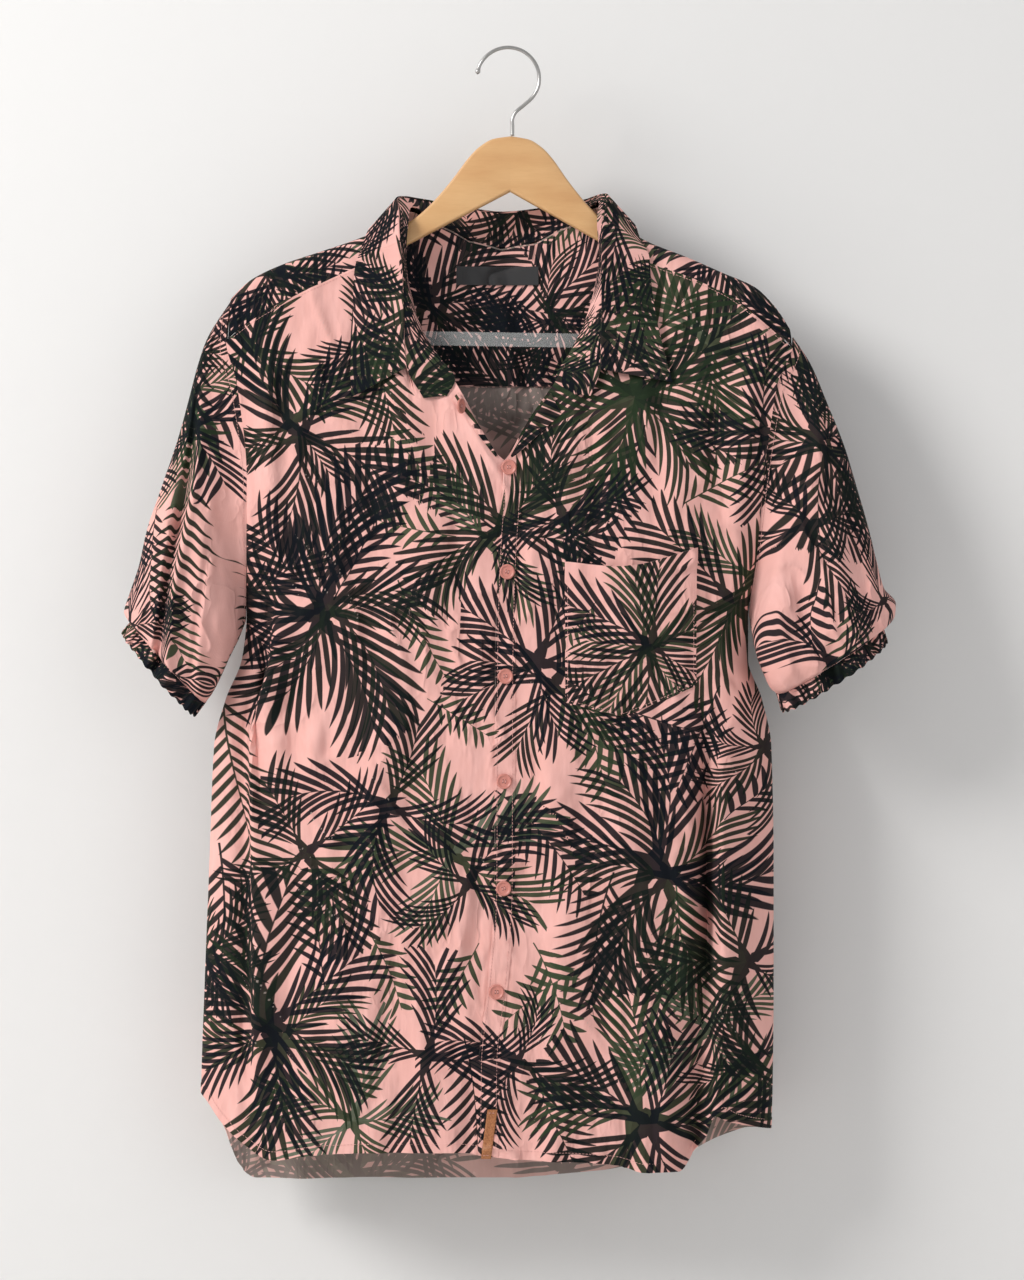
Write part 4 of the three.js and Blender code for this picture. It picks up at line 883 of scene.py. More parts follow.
INSIDE = {"share": 0.42, "colour": (0.62, 0.5, 0.45)}
PRINT_COVER = 0.97
WRINKLES = {"scale": 34, "patches": 11, "height": 0.0062, "strength": 0.8, "weave": 0.01}


def printed_layer(tree, kind, k, group_tree, colour):
    """Lays one layer of leaves over a colour."""
    group = tree.nodes.new("ShaderNodeGroup")
    group.node_tree = group_tree
    source = attribute(tree, f"{kind}_{k}")
    tree.links.new(source.outputs["Vector"], group.inputs["Place"])
    ramp = tree.nodes.new("ShaderNodeValToRGB")
    while len(ramp.color_ramp.elements) < len(LEAF_TINTS):
        ramp.color_ramp.elements.new(0.5)
    for element, (at, tint) in zip(ramp.color_ramp.elements, LEAF_TINTS):
        element.position = at
        element.color = (*tint, 1)
    tree.links.new(group.outputs["Tint"], ramp.inputs["Fac"])
    mask = Wire(tree, group.outputs["Mask"]) * PRINT_COVER
    return mix_colour(tree, mask, colour, Wire(tree, ramp.outputs["Color"]))


def cloth_material(name):
    material, tree, shader = new_material(
        name, PINK, 0.82, Specular_IOR_Level=0.06, Sheen_Weight=0.02, Sheen_Roughness=0.5)
    place = attribute(tree, "flat").outputs["Vector"]
    streaks = noise_texture(tree, stretched(tree, place, (1, 0.16, 1)), 260)
    clouds = noise_texture(tree, place, 18, 1)
    colour = mix_colour(tree, (streaks * 0.5 + clouds * 0.5 - 0.25).edge(0.5), PINK_DEEP, PINK)
    for kind, group_tree in ((FROND, frond_group()), (BURST, burst_group())):
        for k in range(LAYERS[kind]):
            colour = printed_layer(tree, kind, k, group_tree, colour)
    inside = Wire(tree, attribute(tree, "inside").outputs["Fac"])
    colour = mix_colour(tree, inside * INSIDE["share"], colour, INSIDE["colour"])
    tree.links.new(colour.socket, shader.inputs["Base Color"])
    warp = threads(tree, place, "X", WEAVE_PITCH)
    weft = threads(tree, place, "Y", WEAVE_PITCH)
    slubs = noise_texture(tree, stretched(tree, place, (1, 0.3, 1)), 900, 2)
    rumple = noise_texture(tree, stretched(tree, place, (1, 0.36, 1)), WRINKLES["scale"])
    wrinkle = (1 - abs(rumple * 2 - 1) * 4).least(0) ** 2
    patches = (noise_texture(tree, place, WRINKLES["patches"], 1) - 0.42).edge(0.22)
    weave = (warp * 0.5 + weft * 0.5 + slubs * 0.8) * WRINKLES["weave"]
    height = weave + wrinkle * patches * 0.32 + rumple * 0.8
    bump(tree, shader, height, WRINKLES["strength"], WRINKLES["height"])
    return material


printed_cloth = cloth_material("printed cloth")


def dress(piece, node, flat, leaves):
    """Prints a cloth piece, and declares what it stands for."""
    print_leaves(piece, flat, leaves)
    assign(piece, node, printed_cloth)


# Fronts and back
def hem_thickness(z, hem):
    return CLOTH + 0.55 * (1 - smooth(HEM - 0.6, HEM + 0.6, z - hem))


def down_shares(rows):
    """Shares down a panel, closer together in its hem."""
    return np.concatenate([np.linspace(0, 0.984, rows), np.linspace(0.9855, 1, 9)])


def front_panel(name):
    sign = sign_of(name)
    across = np.linspace(0, 1, 120)
    lines = []
    for share in across:
        def column(z, share=share):
            return lerp(start_x(name, z), side_x(sign, z), share)
        lines.append((meet(FRONT_TOP[name], column, -400, -140), meet(FRONT_HEM, column, -1000, -880)))
    top, hem = np.array(lines).T
    z = lerp(top[None], hem[None], down_shares(236)[:, None])
    grid, flat = front_point(name, across[None], z)
    thick = hem_thickness(z, hem[None])
    piece = shell(f"cloth_{name}", grid, flat, outward=-sign, thick=thick)
    dress(piece, name, flat, FRONT_LEAVES)


def back_point(share, z, out=0):
    x = lerp(side_x(-1, z), side_x(1, z), (share + 1) / 2)
    fold, _ = fold_at("back", share, z)
    edge = 1 - smooth(0.85, 1, np.abs(share))
    return np.stack([x, layer_y(1, x, z) + fold * edge + out, z + 0 * x], -1), x


def back_hem(share):
    return meet(BACK_HEM, lambda z: lerp(side_x(-1, z), side_x(1, z), (share + 1) / 2), -1000, -880)


def back_panel():
    across = np.linspace(-1, 1, 190)
    hem = np.array([back_hem(share) for share in across])
    z = lerp(YOKE_SEAM, hem[None], down_shares(190)[:, None])
    grid, x = back_point(across[None], z)
    flat = np.stack([x, z], -1)
    piece = shell("cloth_back", grid, flat, outward=1, thick=hem_thickness(z, hem[None]))
    leaves = scattered_leaves((-270, -980), (230, -290), 150, SEED + 1)
    dress(piece, "back", flat, leaves)


# Yoke
CREST_ARC = CREST * math.pi / 2


def over_shoulder(x, s, out=0):
    """A point at a distance over the shoulder line: negative in front, positive behind."""
    length = np.abs(s)
    drop = np.where(length < CREST_ARC, CREST * (1 - np.cos(length / CREST)), CREST + length - CREST_ARC)
    z = shoulder_z(x) - drop
    face = np.where(s < 0, -1, 1)
    y = np.where(s < 0, layer_y(-1, x, z), layer_y(1, x, z)) + face * out
    return np.stack([x + 0 * y, y, z], -1)


def distance_to(face, x, z):
    drop = np.maximum(shoulder_z(x) - z, 0)
    round_part = CREST * np.arccos(1 - np.minimum(drop, CREST) / CREST)
    return face * np.where(drop < CREST, round_part, CREST_ARC + drop - CREST)


def yoke_edge():
    """The yoke's upper edge as x and distance over the shoulder: seam, round the neck, seam."""
    edge = []
    for x in (-244, -225, -200, -170, -141, -118, -100):
        edge.append((x, distance_to(-1, x, along(FRONT_TOP["right_front"], "x", "z", x))))
    for chest, x, z in zip(COLLAR["chest"], COLLAR["seam_x"], COLLAR["seam_z"]):
        if z > -180:
            clear = YOKE_CLEAR * np.sign(x) if abs(x) > 60 else 0
            edge.append((x + clear, distance_to(-1 if chest else 1, x, z)))
    for x in (82, 100, 118, 145, 172, 195, 215, 240):
        edge.append((x, distance_to(-1, x, along(FRONT_TOP["left_front"], "x", "z", x))))
    return np.array(edge, float)


def edge_at(u):
    edge = yoke_edge()
    at = u * (len(edge) - 1)
    i = np.minimum(np.floor(at).astype(int), len(edge) - 2)
    return lerp(edge[i], edge[i + 1], (at - i)[..., None])


def yoke_grid():
    u = np.linspace(0, 1, 240)
    x, first = edge_at(u).T
    turn = np.maximum(CREST_ARC, first + YOKE_ROLL)
    foot = lerp(side_x(-1, YOKE_SEAM), side_x(1, YOKE_SEAM), u)
    end = distance_to(1, foot, YOKE_SEAM)
    flat_stops = np.linspace(0, 1, 22)[:, None]
    s = np.concatenate([lerp(first, turn, flat_stops), lerp(turn, end, np.linspace(0, 1, 50)[1:, None])])
    share = (s - first) / (end - first)
    across = lerp(x, foot, share)
    return over_shoulder(across, s), np.stack([across, shoulder_z(across) + s], -1)


def yoke_panel():
    grid, flat = yoke_grid()
    piece = shell("cloth_back_yoke", grid, flat, outward=1)
    leaves = scattered_leaves((-260, -270), (250, 60), 120, SEED + 2, 0.9)
    dress(piece, "back_yoke", flat, leaves)


INNER_YOKE = {"x": (-226, 221), "from_edge": 1.5, "start": 30, "aside": 8, "above_seam": 1, "off": -2.1}


def inner_yoke():
    u, v = shares(180, 60)
    x, start = np.moveaxis(edge_at(u), -1, 0)
    x = np.clip(x, *INNER_YOKE["x"])
    start = np.maximum(start + INNER_YOKE["from_edge"], INNER_YOKE["start"])
    aside = INNER_YOKE["aside"]
    foot = lerp(side_x(-1, YOKE_SEAM) + aside, side_x(1, YOKE_SEAM) - aside, u)
    end = distance_to(1, foot, YOKE_SEAM + INNER_YOKE["above_seam"])
    grid = over_shoulder(lerp(x, foot, v), lerp(start, end, v), INNER_YOKE["off"])
    flat = np.stack([grid[..., 0], grid[..., 2]], -1)
    piece = shell("cloth_inner_yoke", grid, flat, outward=1, thick=0.6, lift=0, inside=0.0)
    leaves = scattered_leaves((-230, -300), (225, -120), 105, SEED + 3, 0.9)
    dress(piece, "inner_yoke", flat, leaves)


# Sleeves and cuffs
SLEEVE_BACK = {"x": (260, 480), "z": (-560, -180), "from_edge": 30}
CUFF = {"ruffle": 1.1, "bulge": 1.6, "slant": 0.62, "flare": 0.9, "front": -12, "cut": 17}


def sleeve_outward(part):
    """The flat direction square to a sleeve's outer edge, away from the body."""
    x, z = part["outer"]["x"], part["outer"]["z"]
    along_x, along_z = x[-2] - x[0], z[-2] - z[0]
    across = np.array([-along_z, along_x]) / math.hypot(along_x, along_z)
    return across * part["side"]


def sleeve_point(name, t, turn):
    """Points of a sleeve: t from armhole to cuff seam, turn round it from the outer edge by the front."""
    part = SLEEVES[name]
    side, outer, inner = part["side"], part["outer"], part["inner"]
    angle = 2 * math.pi * turn
    face = np.where(turn < 0.5, -1, 1)
    c = (1 - np.cos(angle)) / 2
    rounding = np.abs(np.sin(angle)) ** 0.75
    top_x, top_z = on_line(outer, t)
    base_x, base_z = on_line(inner, t)
    start_z = lerp(outer["z"][0], inner["z"][0], c)
    start = lerp(outer["x"][0], inner["x"][0], c)
    seam_x = side_x(side, start_z)
    seam_y = np.where(face < 0, layer_y(-1, seam_x, start_z), layer_y(1, seam_x, start_z))
    away = smooth(0, 0.45, t)
    clear = side * UNDERARM_CLEAR * smooth(0.5, 0.9, c) * (1 - smooth(0, 0.4, t))
    x = lerp(top_x, base_x, c) + (seam_x - start) * (1 - away) + clear
    z = lerp(top_z, base_z, c) + face * part["drop"] * rounding * smooth(0.6, 1, t)
    half = along(SLEEVE_DEPTH, "t", "half", t)
    forward = (SLEEVE_FORWARD["base"] * c + SLEEVE_FORWARD["top"]) * smooth(0, 0.5, t)
    lobes = half * rounding
    for row_face, t0, c0, t1, c1, width, depth in SLEEVE_FOLDS[name]:
        share = np.clip((t - t0) / (t1 - t0), 0, 1)
        bell = np.exp(-(((c - lerp(c0, c1, share)) / width) ** 2))
        fold = depth * bell * smooth(t0 - 0.05, t0 + 0.2, t) * np.minimum(1, np.minimum(4 * c, 4 - 4 * c))
        lobes = lobes + np.where(face == row_face, fold, 0)
    near = smooth(0.8, 1, t)
    gather = GATHERS["depth"] * near * np.cos(angle * GATHERS["count"])
    gather = gather + GATHERS["fine_depth"] * smooth(0.9, 1, t) * np.cos(angle * GATHERS["fine"] + 3 * t)
    small = crumple(x + 80 * face, z, SEED + 7) * smooth(0.05, 0.25, t) * np.minimum(1, 3 * rounding)
    y = lerp(seam_y, face * (lobes + gather + 1.4 * small) - forward, smooth(0, 0.3, t))
    edge_y = -SLEEVE_FORWARD["top"] * smooth(0, 0.5, t)
    over = np.abs(lerp(seam_y, face * lobes - forward, smooth(0, 0.3, t)) - edge_y)
    outward = sleeve_outward(part)
    gap = (top_x - x) * outward[0] + (top_z - z) * outward[1]
    unrolled = SLEEVE_EDGE + np.where(face < 0, -over, over + 2 * gap)
    flat = np.stack([x + outward[0] * unrolled, z + outward[1] * unrolled], -1)
    return np.stack([x + 0 * y, y, z + 0 * y], -1), flat


def sleeve(name):
    turns = np.arange(220) / 220
    t = (1 - (1 - np.linspace(0, 1, 100)) ** 1.35)[:, None]
    grid, flat = sleeve_point(name, t, turns[None])
    part = SLEEVES[name]
    piece = shell(f"cloth_{name}_sleeve", grid, flat, outward=part["side"], lift=-1, wrap=True)
    corners = zip(sorted(part["side"] * x for x in SLEEVE_BACK["x"]), SLEEVE_BACK["z"])
    back = scattered_leaves(*corners, 100, SEED + 4)
    start = np.array([part["outer"]["x"][0], part["outer"]["z"][0]])
    away = sleeve_outward(part)
    behind = [leaf for leaf in back if (np.array(leaf[1:3]) - start) @ away > SLEEVE_BACK["from_edge"]]
    dress(piece, f"{name}_sleeve", flat, SLEEVE_LEAVES + behind)


def cuff_point(name, v, turn):
    part = SLEEVES[name]
    points, flat = sleeve_point(name, 1, turn)
    angle = 2 * math.pi * turn
    ruffle = GATHERS["depth"] * np.cos(angle * GATHERS["count"])
    ruffle = ruffle + CUFF["ruffle"] * np.cos(angle * GATHERS["fine"] + 2)
    bulge = CUFF["bulge"] * np.sin(math.pi * v)
    points = points + 0 * v[..., None]
    points[..., 0] += part["reach"][0] * v * CUFF["slant"]
    points[..., 2] += part["reach"][1] * v + CUFF["flare"] * v * np.cos(angle * GATHERS["fine"])
    points[..., 1] += np.where(points[..., 1] < CUFF["front"], -1, 1) * (ruffle * v + bulge)
    flat = flat + np.stack([0 * v + 0 * turn, -CUFF["cut"] * v + 0 * turn], -1)
    return points, flat


def cuff(name):
    turn, v = np.meshgrid(np.arange(324) / 324, np.linspace(0, 1, 14))
    grid, flat = cuff_point(name, v, turn)
    piece = shell(f"cloth_{name}_cuff", grid, flat, outward=SLEEVES[name]["side"], thick=1.2, lift=-0.9,
                  wrap=True, inside=0.0)
    leaves = SLEEVE_LEAVES + scattered_leaves((-470, -590), (470, -470), 90, SEED + 6, 0.8)
    dress(piece, f"{name}_cuff", flat, leaves)


# Collar
STAND_CUT = 34
LEAF_CUT = 60


def rib_points(part):
    points = []
    for k, chest in enumerate(COLLAR["chest"]):
        x, y, z = (COLLAR[f"{part}_{axis}"][k] for axis in "xyz")
        if part == "seam" and not chest:
            edge = over_shoulder(np.array(x), distance_to(1, x, z))
            points.append((edge[0], edge[1], max(edge[2], z) + NECK_GAP))
        elif chest:
            points.append((x, plain_front(x, z) - y, z))
        else:
            points.append((x, y, z))
    return points


def plain_front(x, z):
    """The chest without its small creases, which the stiffer collar bridges."""
    return float(layer_y(-1, np.array(x, float), np.array(z, float)) + small_creases(-1, x, z))


def stand_line(part):
    (ax, az, a_out), (bx, bz, b_out) = STAND_ENDS[part]
    first = (ax, plain_front(ax, az) - a_out, az)
    last = (bx, plain_front(bx, bz) - b_out, bz)
    return [first, *rib_points(part), last]


def collar_stand():
    u = np.linspace(0, 1, 220)
    seam, fold = catmull(stand_line("seam"), u), catmull(stand_line("fold"), u)
    v = np.linspace(0, 1, 24)[:, None, None]
    grid = lerp(seam[None], fold[None], v)
    belly = np.sin(math.pi * v)
    grid = grid + belly * np.array([0, -0.6, 0.4])
    flat = np.stack(np.broadcast_arrays(run_length(seam)[None], STAND_CUT * (1 - v[..., 0])), -1)
    piece = shell("cloth_collar_stand", grid, flat, outward=-1, thick=0.9, lift=0.1, inside=0.0)
    leaves = scattered_leaves((0, -20), (560, 60), 100, SEED + 8, 0.9)
    dress(piece, "collar_stand", flat, leaves)


ROLL_ROWS = 8


def leaf_grid():
    """The leaf from the roll over the stand's fold out to its edge."""
    u = np.linspace(0, 1, 240)
    fold = catmull(rib_points("fold"), u)
    edge = catmull(rib_points("edge"), u)
    back = smooth(-8, 18, fold[:, 1])[:, None]
    outward = np.c_[(edge - fold)[:, :2], np.zeros(len(u))]
    outward /= np.linalg.norm(outward, axis=1, keepdims=True)
    start = fold + outward * (2 + 1.6 * back) + np.array([0, 0, 0.6])
    lead = edge - start
    lead /= np.linalg.norm(lead, axis=1, keepdims=True)
    front = 1 - back
    top = lerp(np.array([0, 0, 1.0]), np.array([0, -1.0, 0.3]), front)
    centre = (fold + start) / 2
    half = np.linalg.norm(start - fold, axis=1, keepdims=True) / 2
    rows = []
    for angle in np.linspace(math.pi, math.pi / 2, ROLL_ROWS)[:-1]:
        rows.append(centre + outward * half * math.cos(angle) + top * half * 0.9 * math.sin(angle))
    for v in np.linspace(0, 1, 46):
        swell = 3 * math.sin(math.pi * v) * back
        roll = 1.1 * math.exp(-v * 9) * top
        rows.append(lerp(start, edge, v) + outward * swell + roll)
    grid = np.array(rows)
    wave = noise(grid[..., 0], grid[..., 2], 40, 46, SEED + 9)
    down = np.linspace(0, 1, len(grid))[:, None]
    grid[..., 1] -= 1.3 * wave * smooth(0.2, 1, down) * front[:, 0]
    flat = np.stack(np.broadcast_arrays(run_length(fold)[None], LEAF_CUT * (1 - down)), -1)
    return grid, flat


def collar_leaf():
    grid, flat = leaf_grid()
    piece = shell("cloth_collar_leaf", grid, flat, outward=-1, thick=1.0, lift=0.1, inside=0.0)
    leaves = scattered_leaves((0, -30), (560, 90), 104, SEED + 10, 0.95)
    dress(piece, "collar_leaf", flat, leaves)


# What lies on the fronts, and how far off them
SEWN_ON = 0.95
PRINT_SHIFT = 31


def band_point(u, v, out):
    def column(z):
        return lap_x(z) + BAND["inset"] + u * BAND["width"]
    hem = meet(FRONT_HEM, column, -1000 + 0 * u, -880 + 0 * u)
    z = lerp(BAND["top"] + BAND["rise"] * u, hem + 1, v)
    return on_front("left_front", column(z), z, out)


def placket_band():
    u, v = shares(16, 330)
    pucker = 0.35 * np.sin(v * 330) * np.exp(-((u - 0.9) / 0.16) ** 2)
    grid, flat = band_point(u, v, SEWN_ON + pucker)
    piece = shell("cloth_placket_band", grid, flat, outward=-1, thick=0.7, lift=0.1)
    dress(piece, "placket_band", flat, FRONT_LEAVES)


def facing(name):
    shape = FACINGS[name]
    rows = FRONT_TOP[f"{name}_front"]
    if name == "right":
        keep = (rows["x"] >= -51) & (rows["x"] < 0)
        line = {"x": rows["x"][keep][::-1], "z": rows["z"][keep][::-1]}
    else:
        keep = (rows["x"] > -8) & (rows["x"] < 37.5)
        line = {"x": rows["x"][keep], "z": rows["z"][keep]}
    u, v = shares(14, 50)
    edge_x, edge_z = on_line(line, lerp(FACING_SPAN["start"], FACING_SPAN["end"], v))
    width = lerp(shape["narrow"], shape["wide"], v ** 0.8)
    x = edge_x + shape["shift"] + u * width * shape["far"][0]
    z = edge_z + u * width * shape["far"][1]
    out = FACING_SPAN["out"] + shape["lift"] * (1 - v) ** 2 + FACING_SPAN["roll"] * v * (1 - u)
    out = out + 1.2 * np.sin(math.pi * np.minimum(1, u * 1.6)) * (0.3 + 0.7 * v)
    grid, flat = on_front(f"{name}_front", x, z, out)
    side = -1 if name == "right" else 1
    flat = flat + PRINT_SHIFT
    piece = shell(f"cloth_{name}_facing", grid, flat, outward=side, thick=CLOTH, lift=-CLOTH)
    dress(piece, f"{name}_facing", flat, FRONT_LEAVES)


def pocket_point(u, v, out):
    p = POCKET
    upper = lerp(p["top"], p["top_right"], u) - p["sag"] * np.sin(math.pi * u) ** 1.2
    half = np.where(u < p["point"], p["point"], 1 - p["point"])
    peak = 1 - np.abs(u - p["point"]) / half
    lower = lerp(p["base"], p["base_right"], u) - p["drop"] * peak
    gape = p["gape"] * np.sin(math.pi * u) * (1 - v) ** 2
    ripple = 0.5 * np.sin(u * 21 + 2) * np.sin(math.pi * u) * (1 - 0.5 * v)
    return on_front("left_front", lerp(p["left"], p["right"], u), lerp(upper, lower, v),
                    out + gape + ripple)


def pocket():
    u, v = shares(90, 104)
    grid, flat = pocket_point(u, v, SEWN_ON)
    thick = 1.0 + 0.7 * (1 - smooth(0.13, 0.15, v))
    piece = shell("cloth_pocket", grid, flat, outward=-1, thick=thick, lift=0.1)
    dress(piece, "pocket", flat, POCKET_LEAVES)


for panel in ("right_front", "left_front"):
    front_panel(panel)
back_panel()
yoke_panel()
inner_yoke()
for hand in SLEEVES:
    sleeve(hand)
    cuff(hand)
collar_stand()
collar_leaf()
placket_band()
facing("right")
facing("left")
pocket()


# Stitches
thread_material, _, _ = new_material("sewing thread", (0.72, 0.37, 0.33), 0.6, Sheen_Weight=0.3)
STITCH = {"pitch": 3.0, "length": 2.2, "width": 0.42, "height": 0.3, "off": 0.12}
OUT_FRONT = np.array([0.0, -1.0, 0.0])
# How far the stitches of each seam lie off the face that their panel is laid on
SEWN = {"placket": 1.75, "hem": 1.55, "yoke": 1.0, "pocket": 1.85, "collar": 1.15, "sleeve": -0.25,
        "tab": 1.35}
# How far stitches lie from the edge or seam that they follow, and at the cuffs the share of the sleeve
HEM_SEAM = HEM - 1.4
PLACKET_SEAMS = (2.2, 15.2)
FRONT_YOKE_SEAM = 2.2
BACK_YOKE_SEAM = 2.4
CUFF_SEAMS = (0.035, 0.985)


def stitch_line(path, normals):
    """Corner points and faces of short raised stitches along a line of points with normals."""
    length = run_length(path)
    count = int(length[-1] / STITCH["pitch"])
    starts = (np.arange(count) + 0.2) * STITCH["pitch"]
    at = [np.stack([np.interp(starts + s * STITCH["length"], length, path[:, k]) for k in range(3)], -1)
          for s in (0, 1)]
    normals = np.broadcast_to(normals, path.shape)
    normal = np.stack([np.interp(starts, length, normals[:, k]) for k in range(3)], -1)
    ahead = (at[1] - at[0]) / np.maximum(np.linalg.norm(at[1] - at[0], axis=1, keepdims=True), 1e-6)
    side = np.cross(ahead, normal)
    rings = []
    for share, size in ((0, 0.45), (0.3, 1), (0.7, 1), (1, 0.45)):
        centre = lerp(at[0], at[1], share) + normal * STITCH["off"]
        half = side * STITCH["width"] / 2 * size
        up = normal * STITCH["height"] * size
        rings += [centre - half, centre - half * 0.6 + up, centre + half * 0.6 + up, centre + half]
    corners = np.stack(rings, 1)
    quads = [[4 * r + k, 4 * r + (k + 1) % 4, 4 * r + 4 + (k + 1) % 4, 4 * r + 4 + k]
             for r in range(3) for k in range(4)]
    quads += [[3, 2, 1, 0], [12, 13, 14, 15]]
    faces = (np.arange(count)[:, None, None] * 16 + np.array(quads)[None]).reshape(-1, 4)
    return corners.reshape(-1, 3), faces


def stitching(name, lines):
    points, faces, start = [], [], 0
    for corners, quads in lines:
        points.append(corners)
        faces.append(quads + start)
        start += len(corners)
    piece = make_object(name, np.concatenate(points), np.concatenate(faces).tolist())
    assign(piece, None, thread_material)


def front_stitches(name, x, z, out):
    """Stitches on a front panel through given x and z."""
    points, _ = on_front(name, x, z, out)
    ahead = np.gradient(points, axis=0)
    probe, _ = on_front(name, x + 0.5, z, out)
    normal = np.cross(ahead, probe - points)
    normal /= np.maximum(np.linalg.norm(normal, axis=1, keepdims=True), 1e-9)
    normal *= -np.sign(normal[:, 1:2])
    return stitch_line(points, normal)


def body_stitches():
    lines = []
    z = np.linspace(-372, -940, 900)
    for aside in PLACKET_SEAMS:
        lines.append(front_stitches("left_front", lap_x(z) + aside, z, SEWN["placket"]))
    for name, low, high in (("right_front", -262, -16), ("left_front", -28, 222)):
        x = np.linspace(low, high, 700)
        hem = along(FRONT_HEM, "x", "z", x) + HEM_SEAM
        lines.append(front_stitches(name, x, hem, SEWN["hem"]))
        low, high = (-240, -112) if name == "right_front" else (112, 238)
        x = np.linspace(low, high, 500)
        seam = along(FRONT_TOP[name], "x", "z", x) - FRONT_YOKE_SEAM
        lines.append(front_stitches(name, x, seam, SEWN["yoke"]))
    share = np.linspace(-0.985, 0.985, 1200)
    hem = np.array([back_hem(s) for s in share])
    for z, seam in ((hem + HEM_SEAM, "hem"), (YOKE_SEAM - BACK_YOKE_SEAM + 0 * share, "yoke")):
        points, _ = back_point(share, z, SEWN[seam])
        lines.append(stitch_line(points, -OUT_FRONT))
    u = np.linspace(0.012, 0.988, 500)
    v = np.linspace(0.02, 0.985, 500)
    for seam in ((0.018 + 0 * v, v), (0.982 + 0 * v, v), (u, 0.982 + 0 * u), (u, 0.135 + 0 * u)):
        points, _ = pocket_point(*seam, SEWN["pocket"])
        lines.append(stitch_line(points, OUT_FRONT))
    stitching("stitches_body", lines)


def collar_stitches():
    grid, _ = leaf_grid()
    normals = -grid_normals(grid, False)
    on_cloth = grid + normals * SEWN["collar"]
    row = len(grid) - 5
    lines = [stitch_line(on_cloth[row, 4:-4], normals[row, 4:-4])]
    for column in (5, -6):
        lines.append(stitch_line(on_cloth[ROLL_ROWS:row, column], normals[ROLL_ROWS:row, column]))
    stitching("stitches_collar", lines)


def sleeve_stitches():
    lines = []
    turn = np.linspace(0.0, 1.0, 900)
    for name, part in SLEEVES.items():
        for t in CUFF_SEAMS:
            near = [t + step + 0 * turn for step in (-0.004, 0, 0.004)]
            strip = np.stack([sleeve_point(name, down, turn)[0] for down in near])
            normals = grid_normals(strip, False)[1] * part["side"]
            lines.append(stitch_line(strip[1] + normals * SEWN["sleeve"], normals))
    stitching("stitches_sleeves", lines)


body_stitches()
collar_stitches()
sleeve_stitches()


# Buttons
button_material, button_tree, button_shader = new_material(
    "button plastic", (0.58, 0.21, 0.17), 0.38, Specular_IOR_Level=0.5)
# The button holes are not cut: dark discs lie on the dish, coloured as painted shade for the holes
hole_shade_material, _, _ = new_material("button hole painted shade", (0.12, 0.04, 0.035), 0.8)


def object_noise(tree, scale, detail=3, stretch=(1, 1, 1)):
    coordinates = tree.nodes.new("ShaderNodeTexCoord")
    return noise_texture(tree, stretched(tree, coordinates.outputs["Object"], stretch), scale, detail)


def shade_between(tree, shader, factor, first, second):
    tree.links.new(mix_colour(tree, factor, first, second).socket, shader.inputs["Base Color"])


shade_between(button_tree, button_shader, object_noise(button_tree, 400).edge(1), (0.5, 0.17, 0.135),
              (0.66, 0.27, 0.22))
bump(button_tree, button_shader, object_noise(button_tree, 1500), 0.2, 0.0001)


def lathe(profile, sides):
    angles = 2 * math.pi * np.arange(sides) / sides
    points = [(r * math.cos(a), -h, r * math.sin(a)) for r, h in profile for a in angles]
    return np.array(points), closed_loft(len(profile), sides)


def button_profile():
    """Radius and height from the underside over the raised rim and into the dish."""
    r, h = BUTTON["radius"], BUTTON["height"]
    return [(r * 0.6, 0), (r * 0.9, 0.25), (r, h * 0.4), (r, h * 0.66), (r - 0.3, h * 0.9), (r - 0.8, h),
            (r - 1.4, h * 0.96), (r - 1.9, h * 0.74), (r - 2.3, h * 0.66), (2.9, h * 0.64), (0.4, h * 0.62)]


def thread_tube(side, dish):
    """A strand of thread between two holes."""
    steps = np.linspace(0, 1, 7)
    height = dish + STRAND["off"] + STRAND["rise"] * np.sin(math.pi * steps)
    path = np.stack([side * HOLE["aside"] + 0 * steps, -height, STRAND["reach"] * (2 * steps - 1)], -1)
    angles = np.linspace(0, 2 * math.pi, 9)[:-1]
    ring = np.stack([STRAND["wide"] * np.cos(angles), STRAND["high"] * np.sin(angles), 0 * angles], -1)
    return (path[:, None] + ring[None]).reshape(-1, 3), loft_faces(len(path), len(ring))


def button(name, node, place, turn, roll):
    """A round button with a raised rim, a round dish, four holes shown as dark discs of painted shade, and
    its thread.
    """
    points, faces = lathe(button_profile(), 40)
    marks = [0] * len(faces)
    dish = BUTTON["height"] * 0.63
    extras = []
    for sx in (-1, 1):
        for sz in (-1, 1):
            r = HOLE["radius"]
            # A thin dark disc on the dish, painted shade where a hole would be
            hole, quads = lathe([(0.1, dish), (r, dish), (r, dish + 0.03), (0.1, dish + 0.03)], 14)
            extras.append((hole + np.array([sx, 0, sz]) * HOLE["aside"], quads, 1))
    extras += [(*thread_tube(sx, dish), 2) for sx in (-1, 1)]
    for more, quads, mark in extras:
        faces += [[v + len(points) for v in quad] for quad in quads]
        marks += [mark] * len(quads)
        points = np.concatenate([points, more])
    spin = Matrix.Rotation(math.radians(turn), 3, "Z") @ Matrix.Rotation(math.radians(roll), 3, "Y")
    piece = make_object(name, points @ np.array(spin).T + np.asarray(place), faces)
    piece.data.set_sharp_from_angle(angle=math.radians(50))
    assign(piece, node, button_material)
    piece.data.materials.append(hole_shade_material)
    piece.data.materials.append(thread_material)
    piece.data.polygons.foreach_set("material_index", marks)


for number, (x, z) in enumerate(BUTTONS, 1):
    spot, _ = on_front("left_front", x, z, BUTTON["out"] - 0.9)
    button(f"round_button_{number}", f"button_{number}", spot, 0, (17 * number) % 40 - 20)
chest = plain_front(COLLAR_BUTTON["x"], COLLAR_BUTTON["z"])
spot = (COLLAR_BUTTON["x"], chest - COLLAR_BUTTON["out"], COLLAR_BUTTON["z"])
button("round_button_collar", "collar_button", spot, COLLAR_BUTTON["turn"], 10)


